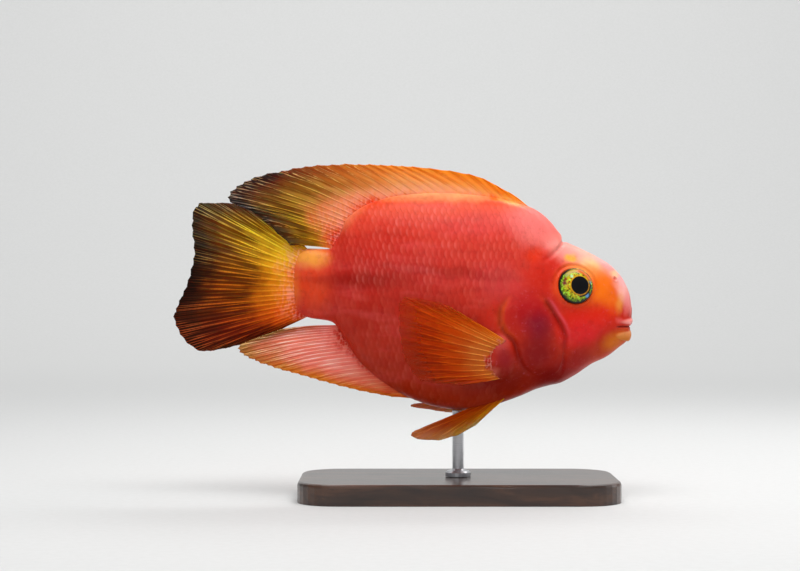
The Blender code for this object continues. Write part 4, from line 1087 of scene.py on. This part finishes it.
def make_scales(tree, name, side, look):
    """Every scale of one flank: a thin shield rooted in the skin whose free edge lies over the next
    ones towards the tail."""
    draw = np.random.default_rng(SCALE_SEEDS[name])
    places, run, table, limits = arc_table()

    def on_body(along, around):
        """Place and angle at lengths along the body and round it."""
        row = np.interp(along, run, np.arange(len(run)))
        return np.interp(along, run, places), angle_at(table, row, around)

    centres = scale_centres(run, limits, draw)
    middle = body_points(*on_body(*centres.T))
    centres = centres[(scale_room(middle) > 0) & (middle[:, 0] > SCALE_REAR)]
    count, each = len(centres), len(SCALE_ALONG) * len(SCALE_ACROSS)
    down, aside = np.array(SCALE_ALONG)[:, None], np.array(SCALE_ACROSS)
    size = draw.uniform(*SCALE_SIZES, count)[:, None, None]
    width = 1 - SCALE_NARROWING * smooth(*SCALE_NARROWS, down)
    below = down * (1 - SCALE_CURVE * aside * aside) - 0.5
    along = centres[:, 0, None, None] - below * SCALE_LENGTH * size
    around = centres[:, 1, None, None] + aside * width * SCALE_HEIGHT / 2 * size
    place, angle = on_body(np.clip(along, 0, run[-1]), around)
    point, normal = body_points(place, angle), body_normals(place, angle)
    fade = smooth(0.0, FADE_LENGTH, scale_room(point)) * smooth(*FADE_TAIL, point[..., 0])
    fade = FADE_LEAST + (1 - FADE_LEAST) * fade
    tilt = draw.normal(0, SCALE_TILT, count)[:, None, None]
    lift = (SCALE_LIFT + SCALE_SINK + tilt) * down - SCALE_SINK + SCALE_ARCH * (1 - aside * aside)
    lift = lift * fade + relief(tree, point, normal) - COAT_DEPTH
    heights = (lift, lift - SCALE_THICK * fade)
    points = np.stack([point + normal * height[..., None] for height in heights], 1).reshape(-1, 3)
    faces = sheet_faces(len(SCALE_ALONG), len(SCALE_ACROSS))[:, ::-1]
    faces = faces + (np.arange(count) * 2 * each)[:, None, None]
    if side < 0:
        points, faces = points * (1, -1, 1), faces[:, :, ::-1]
    obj = new_mesh(f"scales_{name}", points, faces.reshape(-1, 4).tolist())
    root = np.stack([np.interp(centres[:, 0], run, places), 0.5 + 0.45 * centres[:, 1] / ARC_REACH], -1)
    spot = np.stack(np.broadcast_arrays(down - 0.5, aside * 0.5), -1).reshape(each, 2)
    patch = np.clip(root[:, None] + spot * PATCH, 0.001, 0.999)
    set_uv(obj, "OFBake", corner_values(obj, np.tile(patch, (1, 2, 1)).reshape(-1, 2)))
    set_uv(obj, "scale", corner_values(obj, np.tile(spot[:, ::-1] + 0.5, (2 * count, 1))))
    set_values(obj, "tint", np.repeat(draw.uniform(0, 1, count), 2 * each))
    set_values(obj, "show", np.stack([fade, fade], 1).ravel())
    dress(obj, look, "skin")


# Materials. Numbers, places and colours are worked out by a shader's nodes.


class Value:
    """What a node gives out. Arithmetic with it adds the nodes that work it out."""

    def __init__(self, graph, socket):
        self.graph, self.socket = graph, socket

    def work(self, operation, *terms, out=0):
        kind = "ShaderNodeMath" if self.socket.type == "VALUE" else "ShaderNodeVectorMath"
        return self.graph.add(kind, terms, out, operation=operation)

    def __add__(self, other):
        return self.work("ADD", self, other)

    def __sub__(self, other):
        return self.work("SUBTRACT", self, other)

    def __rsub__(self, other):
        return self.work("SUBTRACT", other, self)

    def __mul__(self, other):
        if self.socket.type == "VALUE" or isinstance(other, tuple):
            return self.work("MULTIPLY", self, other)
        return self.graph.add("ShaderNodeVectorMath", {0: self, 3: other}, operation="SCALE")

    def __truediv__(self, other):
        return self.work("DIVIDE", self, other)

    def __rtruediv__(self, other):
        return self.work("DIVIDE", other, self)

    def __abs__(self):
        return self.work("ABSOLUTE", self)

    def sine(self):
        return self.work("SINE", self)

    def length(self):
        return self.work("LENGTH", self, out=1)

    def spread(self, low, high, out_low=0.0, out_high=1.0, way="LINEAR"):
        """From one number to another while this value goes from low to high."""
        terms = (self, low, high, out_low, out_high)
        return self.graph.add("ShaderNodeMapRange", terms, interpolation_type=way)

    def smooth(self, low, high, out_low=0.0, out_high=1.0):
        return self.spread(low, high, out_low, out_high, "SMOOTHSTEP")


class Graph:
    """The nodes of a material or of a group."""

    def __init__(self, tree):
        self.tree = tree

    def put(self, socket, value):
        if isinstance(value, Value):
            self.tree.links.new(value.socket, socket)
        else:
            socket.default_value = srgb(*value) if socket.type == "RGBA" else value

    def add(self, kind, values=(), out=0, **settings):
        """Adds a node, gives its inputs their values in order or by key, and returns an output."""
        made = self.tree.nodes.new(kind)
        for name, value in settings.items():
            setattr(made, name, value)
        for key, value in values.items() if isinstance(values, dict) else enumerate(values):
            self.put(made.inputs[key], value)
        return Value(self, made.outputs[out])

    def split(self, vector):
        node = self.add("ShaderNodeSeparateXYZ", [vector]).socket.node
        return [Value(self, socket) for socket in node.outputs]

    def join(self, *values):
        return self.add("ShaderNodeCombineXYZ", values)

    def mix(self, share, a, b):
        return self.add("ShaderNodeMix", {0: share, 6: a, 7: b}, 2, data_type="RGBA")

    def ramp(self, value, stops):
        made = self.add("ShaderNodeValToRGB", [value])
        elements = made.socket.node.color_ramp.elements
        elements.remove(elements[-1])
        for k, (place, colour) in enumerate(stops):
            stop = elements[0] if k == 0 else elements.new(place)
            stop.position = place
            stop.color = srgb(*colour)
        return made

    def noise(self, vector, scale, detail=3.0, roughness=0.55, out=0):
        """One soft noise, or with out=1 three of them as a colour."""
        values = {"Vector": vector, "Scale": scale, "Detail": detail, "Roughness": roughness}
        return self.add("ShaderNodeTexNoise", values, out)

    def cells(self, vector, scale):
        return self.add("ShaderNodeTexVoronoi", {"Vector": vector, "Scale": scale})

    def attribute(self, name):
        return self.add("ShaderNodeAttribute", out="Fac", attribute_name=name)

    def uv(self, name):
        return self.add("ShaderNodeUVMap", uv_map=name)

    def place(self):
        return self.add("ShaderNodeTexCoord", out="Object")


class Surface(Graph):
    """A material. Its plain numbers are set on the shader's own sockets, and each colour is painted
    over what is there."""

    def __init__(self, name, **numbers):
        self.material = bpy.data.materials.new(name)
        self.material.use_nodes = True
        super().__init__(self.material.node_tree)
        self.shader = self.tree.nodes["Principled BSDF"].inputs
        for socket, value in numbers.items():
            self.shader[socket.replace("_", " ")].default_value = value

    def paint(self, share, colour):
        self.colour = self.mix(share, self.colour, colour)

    def mottle(self, scale, detail, roughness, low, high, strength, colour):
        """Paints flecks where a noise goes from low to high."""
        noise = self.noise(self.place(), scale, detail, roughness)
        self.paint(noise.smooth(low, high, 0.0, strength), colour)

    def finish(self, height, strength, distance):
        """Gives the shader its colour and a fine relief."""
        values = {"Strength": strength, "Distance": distance, "Height": height}
        self.put(self.shader["Base Color"], self.colour)
        self.put(self.shader["Normal"], self.add("ShaderNodeBump", values))
        return self.material


def markings_and_painted_light():
    """The colours of the body by place, as seen from either side, for skin, scales and fin roots. They hold
    painted shade, darker towards the belly, and painted highlights on the forehead and snout.
    """
    tree = bpy.data.node_groups.new("markings_and_painted_light", "ShaderNodeTree")
    tree.interface.new_socket("Place", in_out="INPUT", socket_type="NodeSocketVector")
    tree.interface.new_socket("Color", in_out="OUTPUT", socket_type="NodeSocketColor")
    graph = Graph(tree)
    place = graph.add("NodeGroupInput")
    x, y, z = graph.split(place * (1 / MM))
    grow = 1.0 / (1.0 - abs(y) / VIEW_DISTANCE)
    seen_x, seen_z = (x - VIEW_X) * grow + VIEW_X, (z - VIEW_Z) * grow + VIEW_Z
    waver = graph.noise(place, 90.0, 3.0, 0.6, out=1) - (0.5, 0.5, 0.5)
    seen = graph.join(seen_x, 0.0, seen_z) + waver * MARK_WAVER
    low, high = HEIGHT_COLOURS[0][0], HEIGHT_COLOURS[-1][0]
    stops = [((level - low) / (high - low), colour) for level, colour in HEIGHT_COLOURS]
    colour = graph.ramp(graph.split(seen)[2].spread(low, high), stops)
    for mark_x, mark_z, half_x, half_z, turn, softness, strength, mark in MARKS:
        values = {
            "Vector": seen,
            "Location": (mark_x, 0, mark_z),
            "Rotation": (0, math.radians(turn), 0),
            "Scale": (half_x, NO_LIMIT, half_z),
        }
        out = graph.add("ShaderNodeMapping", values, vector_type="TEXTURE").length()
        colour = graph.mix(out.smooth(1 + softness / 2, 1 - softness, 0.0, strength), colour, mark)
    streak = graph.noise(seen * (0.03, 0.0, 0.16), 1.0, 2.0)
    flank = seen_x.smooth(20.0, 4.0)
    colour = graph.mix(streak.smooth(0.5, 0.72, 0.0, 0.3) * flank, colour, (248, 92, 92))
    colour = graph.mix(streak.smooth(0.48, 0.3, 0.0, 0.25) * flank, colour, (170, 16, 6))
    graph.put(tree.nodes.new("NodeGroupOutput").inputs[0], colour)
    return tree


def flesh_colour(surface, group):
    return surface.add("ShaderNodeGroup", [surface.place()], node_tree=group)


def skin_material(group):
    skin = Surface("moist_skin", **MOIST)
    skin.colour = flesh_colour(skin, group)
    # Painted highlight: a pale lilac band along the ridge in front of the gill groove.
    skin.paint(skin.attribute("ridge") * 0.3, (230, 104, 130))
    skin.paint(skin.attribute("rim") * 0.7, (232, 96, 26))
    skin.paint(skin.attribute("upper_lip_share"), (255, 156, 148))
    # Painted highlight: the lower lip grows paler towards its top.
    level = skin.split(skin.place())[2].smooth(0.0615, 0.0655)
    lower_lip = skin.mix(level, (214, 126, 30), (238, 166, 104))
    skin.paint(skin.attribute("lower_lip_share") * 0.75, lower_lip)
    # Painted shade: the creases of the head and the line of the mouth are darkened.
    skin.paint(skin.attribute("fold"), skin.mix(0.75, skin.colour, (128, 0, 0)))
    skin.mottle(420.0, 4.0, 0.6, 0.45, 0.8, 0.05, (255, 150, 130))
    skin.mottle(620.0, 2.0, 0.7, 0.6, 0.76, 0.14, (226, 110, 140))
    skin.mottle(230.0, 3.0, 0.6, 0.5, 0.8, 0.25, (120, 14, 10))
    pores = skin.cells(skin.place(), 1500.0)
    return skin.finish(pores + skin.noise(skin.place(), 900.0), 0.12, 0.0002)


def scale_material(group):
    """Each scale is darkest at its root, a painted shade where it lies under the scale in front, and has a
    pale bar before its free edge.
    """
    scale = Surface("moist_scales", **MOIST)
    scale.colour = flesh_colour(scale, group)
    across, along, _ = scale.split(scale.uv("scale"))
    show, tint = scale.attribute("show"), scale.attribute("tint")
    bar = along.smooth(0.66, 0.82) * along.smooth(1.0, 0.9) * abs(across - 0.5).smooth(0.42, 0.12)
    patch = scale.noise(scale.place(), 60.0).smooth(0.4, 0.62, 0.2, 1.0)
    height = scale.split(scale.place())[2].smooth(0.06, 0.095, 0.35, 1.0)
    patch = patch * (height * tint.spread(-0.8, 1.0))
    # Painted shade on the root, under the free edge of the scale in front.
    root = scale.mix(0.5, scale.colour, (140, 10, 4))
    scale.paint(along.smooth(0.74, 0.56) * show * 0.12, root)
    scale.paint(bar * show * (patch * 0.24), (253, 130, 122))
    scale.paint(tint * 0.06, (255, 140, 110))
    scale.mottle(380.0, 4.0, 0.6, 0.45, 0.8, 0.25, (140, 16, 10))
    grain = (along * 90.0).sine() * 0.3 + (across * 80.0).sine() * 0.2
    return scale.finish(grain, 0.1, 0.0001)


def fin_colours(fin, place, along, rows):
    """The colour at a place across the fin and along its rays."""
    root, middle, tip = (fin.ramp(place, [(row[0], row[k]) for row in rows]) for k in (1, 2, 3))
    colour = fin.mix(along.smooth(0.08, 0.5), root, middle)
    return fin.mix(along.smooth(0.5, 0.98), colour, tip)


def fin_material(name, group):
    """Bright rays over a darker membrane. The flesh's colours, painted shade among them, and small
    scales fade out from the root."""
    fin = Surface(f"{name}_membrane", **MEMBRANE)
    plan = FIN_PLANS[name]
    place, along, _ = fin.split(fin.uv("fin"))
    streak = fin.noise(fin.join(place * (plan.rays * 5.0), along, 0.0), 1.3)
    reach = along + (fin.noise(fin.place(), 160.0, 4.0, 0.6) - 0.5) * 0.35
    web, ray = (fin_colours(fin, place, reach, FIN_COLOURS[name, part]) for part in ("web", "ray"))
    web = fin.mix(streak.smooth(0.35, 0.7, 0.28, 0.0), web, fin.mix(0.55, web, (20, 8, 2)))
    bundle = fin.noise(fin.join(place * (plan.rays * 0.9), along * 1.6, 3.0), 1.0, 2.0)
    bundle = bundle.smooth(0.58, 0.42) * along.smooth(0.1, 0.6)
    ray = fin.mix(bundle * 0.85, ray, web)
    web = fin.mix((1.0 - bundle) * along.smooth(0.9, 0.3, 0.0, 0.3), web, ray)
    crest = fin.attribute("ray")
    fin.colour = fin.mix(crest.smooth(0.3, 0.92, 0.0, 0.95), web, ray)
    fin.paint((along * 170.0).sine().smooth(0.5, 1.0, 0.0, 0.25) * crest, web)
    small_scales = fin.cells(fin.place() * (850.0, 850.0, 480.0), 1.0)
    sheath = flesh_colour(fin, group)
    sheath = fin.mix(small_scales.smooth(0.35, 0.7, 0.0, 0.4), sheath, (255, 176, 156))
    sheath = fin.mix(small_scales.smooth(0.3, 0.05, 0.0, 0.25), sheath, (190, 40, 16))
    fin.paint((reach + crest * -0.03).smooth(plan.flesh, 0.02), sheath)
    if plan.clear:
        clear = (reach - crest * 0.15).smooth(0.4, 1.0)
        fin.put(fin.shader["Alpha"], 1.0 - clear * plan.clear)
    grain = streak * 0.7 + fin.noise(fin.place(), 1400.0) * 0.3
    return fin.finish(grain, 0.25, 0.0002)


def eye_material():
    """A black pupil set towards the nose in a flecked yellow-green iris with a dark rim, and painted glints
    of light on the nose side.
    """
    eye = Surface("wet_eye", Roughness=0.3, Specular_IOR_Level=0.15, Coat_Weight=0.35, Coat_Roughness=0.03)
    place = (eye.uv("iris") - (0.5, 0.5, 0.0)) * (2 * EYE_RADIUS)
    out, way = place.length(), place.work("NORMALIZE", place)
    from_pupil = (place - (PUPIL_SHIFT, 0.0, 0.0)).length()

    def towards(degrees, narrow, wide):
        """1 within the narrow angle of a direction round the eye, down to 0 at the wide angle."""
        aim = (math.cos(math.radians(degrees)), math.sin(math.radians(degrees)), 0.0)
        near, far = math.cos(math.radians(wide)), math.cos(math.radians(narrow))
        return way.work("DOT_PRODUCT", way, aim, out=1).smooth(near, far)

    def spot(x, y, radius, soft, strength, colour):
        distance = (place - (x, y, 0.0)).length()
        eye.paint(distance.smooth(radius + soft, radius - soft, 0.0, strength), colour)

    fibres = eye.noise(way * 3.2 + place * 0.16, 1.6, 4.0)
    flecks = eye.noise(place, 0.85, 2.0, 0.7)
    eye.colour = eye.ramp(out.spread(0.0, EYE_RADIUS), IRIS_COLOURS)
    eye.paint(fibres.smooth(0.46, 0.66, 0.0, 0.75), (70, 110, 6))
    eye.paint(flecks.smooth(0.54, 0.62, 0.0, 0.8), (176, 250, 60))
    eye.paint(flecks.smooth(0.46, 0.38, 0.0, 0.9), (14, 44, 6))
    band = out.smooth(4.7, 5.3) * out.smooth(6.7, 6.4)
    eye.paint(band * towards(98, 16, 44) * 0.85, (190, 150, 8))
    eye.paint(band * towards(52, 22, 44), (214, 104, 26))
    spot(-4.7, 0.8, 0.75, 0.45, 1.0, (118, 18, 6))
    spot(-4.3, 2.3, 0.6, 0.45, 1.0, (126, 26, 6))
    rim = out.smooth(6.05, 6.35) * towards(225, 70, 165).smooth(0.0, 0.7, 0.25, 1.0)
    eye.paint(rim, (16, 20, 8))
    # Painted glints: pale cyan and blue spots on the side towards the nose.
    spot(5.1, 1.0, 0.75, 0.35, 0.9, (150, 226, 216))
    spot(5.3, -0.5, 0.6, 0.35, 0.8, (120, 200, 200))
    spot(4.2, -3.7, 0.8, 0.35, 0.9, (96, 156, 226))
    spot(-1.9, 3.4, 0.55, 0.35, 0.8, (190, 240, 190))
    eye.paint(from_pupil.smooth(4.75, 4.3) * towards(-28, 30, 62), (8, 6, 6))
    ring = from_pupil.smooth(3.35, 3.55) * from_pupil.smooth(4.1, 3.8)
    eye.paint(ring * fibres.smooth(0.3, 0.6, 0.95, 0.5), (226, 150, 16))
    eye.paint(from_pupil.smooth(PUPIL_RADIUS + 0.1, PUPIL_RADIUS - 0.12), (3, 3, 5))
    return eye.finish(from_pupil.smooth(3.2, 3.8) * fibres, 0.1, 0.0003)


def wood_material():
    """Dark stained wood with fine open grain along the base."""
    wood = Surface("dark_wood", Roughness=0.34, Specular_IOR_Level=0.5, Coat_Weight=0.35, Coat_Roughness=0.12)
    place = wood.place()
    waver = wood.noise(place * (9.0, 40.0, 40.0), 1.0, out=1) * 4.0
    grain = wood.noise(place * (16.0, 190.0, 190.0) + waver, 1.0, 6.0, 0.62)
    pores = wood.noise(place * (90.0, 2600.0, 2600.0), 1.0, 2.0)
    wood.colour = wood.ramp(grain, WOOD_COLOURS)
    wood.paint(pores.smooth(0.6, 0.72, 0.0, 0.6), (20, 12, 8))
    return wood.finish(grain - pores.smooth(0.58, 0.72) * 0.8, 0.2, 0.0003)


def steel_material():
    """Brushed steel whose fine lines run round the rod."""
    steel = Surface("brushed_steel", Metallic=1.0)
    lines = steel.noise(steel.place() * (60.0, 60.0, 9000.0), 1.0)
    steel.colour = steel.mix(lines.smooth(0.3, 0.7), (176, 176, 180), (206, 206, 208))
    steel.mottle(120.0, 3.0, 0.55, 0.5, 0.8, 0.2, (150, 150, 154))
    steel.put(steel.shader["Roughness"], lines.smooth(0.2, 0.8, 0.26, 0.4))
    return steel.finish(lines, 0.08, 0.0001)


# The studio, in metres.

FLOOR_FRONT = -3.0
FLOOR_DEPTH = 1.4
FLOOR_HALF_WIDTH = 3.0
SWEEP_RADIUS = 0.9
SWEEP_STEPS = 25
WALL_HEIGHT = 2.6
AIM = (-0.02, 0.0, 0.08)
# Area lights: (name, place, what it points at, width and height, watts).
LIGHTS = (
    ("top_softbox", (0.06, -0.22, 0.75), AIM, (0.7, 0.45), 5.5),
    ("front_fill", (-0.5, -1.3, 0.6), AIM, (0.9, 0.6), 2.4),
    ("nose_rim", (0.7, 0.15, 0.45), AIM, (0.3, 0.5), 1.2),
    ("back_rim", (0.1, 0.35, 0.5), AIM, (0.5, 0.1), 0.8),
    ("wall_wash", (0.0, 1.0, 1.6), (0.0, 2.2, 0.4), (3.0, 0.5), 30.0),
)
SKY_COLOUR = (0.92, 0.95, 1.0, 1.0)
SKY_STRENGTH = 0.3


def make_backdrop():
    """A floor that sweeps up behind into a wall."""
    turn = np.linspace(0, math.pi / 2, SWEEP_STEPS)[1:]
    sweep = zip(FLOOR_DEPTH + SWEEP_RADIUS * np.sin(turn), SWEEP_RADIUS * (1 - np.cos(turn)))
    top = (FLOOR_DEPTH + SWEEP_RADIUS, WALL_HEIGHT)
    profile = [(FLOOR_FRONT, 0.0), (FLOOR_DEPTH, 0.0), *sweep, top]
    points = [(x, y, z) for x in (-FLOOR_HALF_WIDTH, FLOOR_HALF_WIDTH) for y, z in profile]
    faces = grid_faces(2, len(profile), False).tolist()
    obj = new_mesh("backdrop", np.array(points) / MM, faces)
    paper = Surface("pale_paper", Roughness=0.9, Specular_IOR_Level=0.1)
    colour = paper.mix(paper.noise(paper.place(), 300.0), (206, 206, 204), (214, 214, 213))
    paper.put(paper.shader["Base Color"], colour)
    cover(obj.data, paper.material)


def set_stage():
    make_backdrop()
    for name, place, aim, size, watts in LIGHTS:
        light = bpy.data.lights.new(name, "AREA")
        light.shape = "RECTANGLE"
        light.size, light.size_y = size
        light.energy = watts
        obj = add_object(name, light)
        obj.location = place
        obj.rotation_euler = (Vector(aim) - Vector(place)).to_track_quat("-Z", "Y").to_euler()
    world = bpy.data.worlds.new("studio")
    world.use_nodes = True
    sky = world.node_tree.nodes["Background"]
    sky.inputs["Color"].default_value = SKY_COLOUR
    sky.inputs["Strength"].default_value = SKY_STRENGTH
    bpy.context.scene.world = world
    bpy.context.scene.view_settings.view_transform = "Standard"
    camera = bpy.data.cameras.new("camera")
    camera.lens, camera.sensor_width = LENS, SENSOR
    obj = add_object("camera", camera)
    obj.location = Vector((VIEW_X, -VIEW_DISTANCE, VIEW_Z)) * MM
    obj.rotation_euler = (math.pi / 2, 0, 0)
    bpy.context.scene.camera = obj


def main():
    grid = smooth_body()
    tree = tree_of_grid(grid)
    group = markings_and_painted_light()
    make_skin(grid, tree, skin_material(group))
    look = scale_material(group)
    for name, side in SIDES.items():
        make_scales(tree, name, side, look)
    look = eye_material()
    for name, (centre, axis, side) in eye_places(tree).items():
        make_eye(name, centre, axis, side, look)
    make_fins(tree, {name: fin_material(name, group) for name in FIN_PLANS})
    cover(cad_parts["stand_base"].data, wood_material())
    cover(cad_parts["stand_rod"].data, steel_material())
    set_stage()


main()
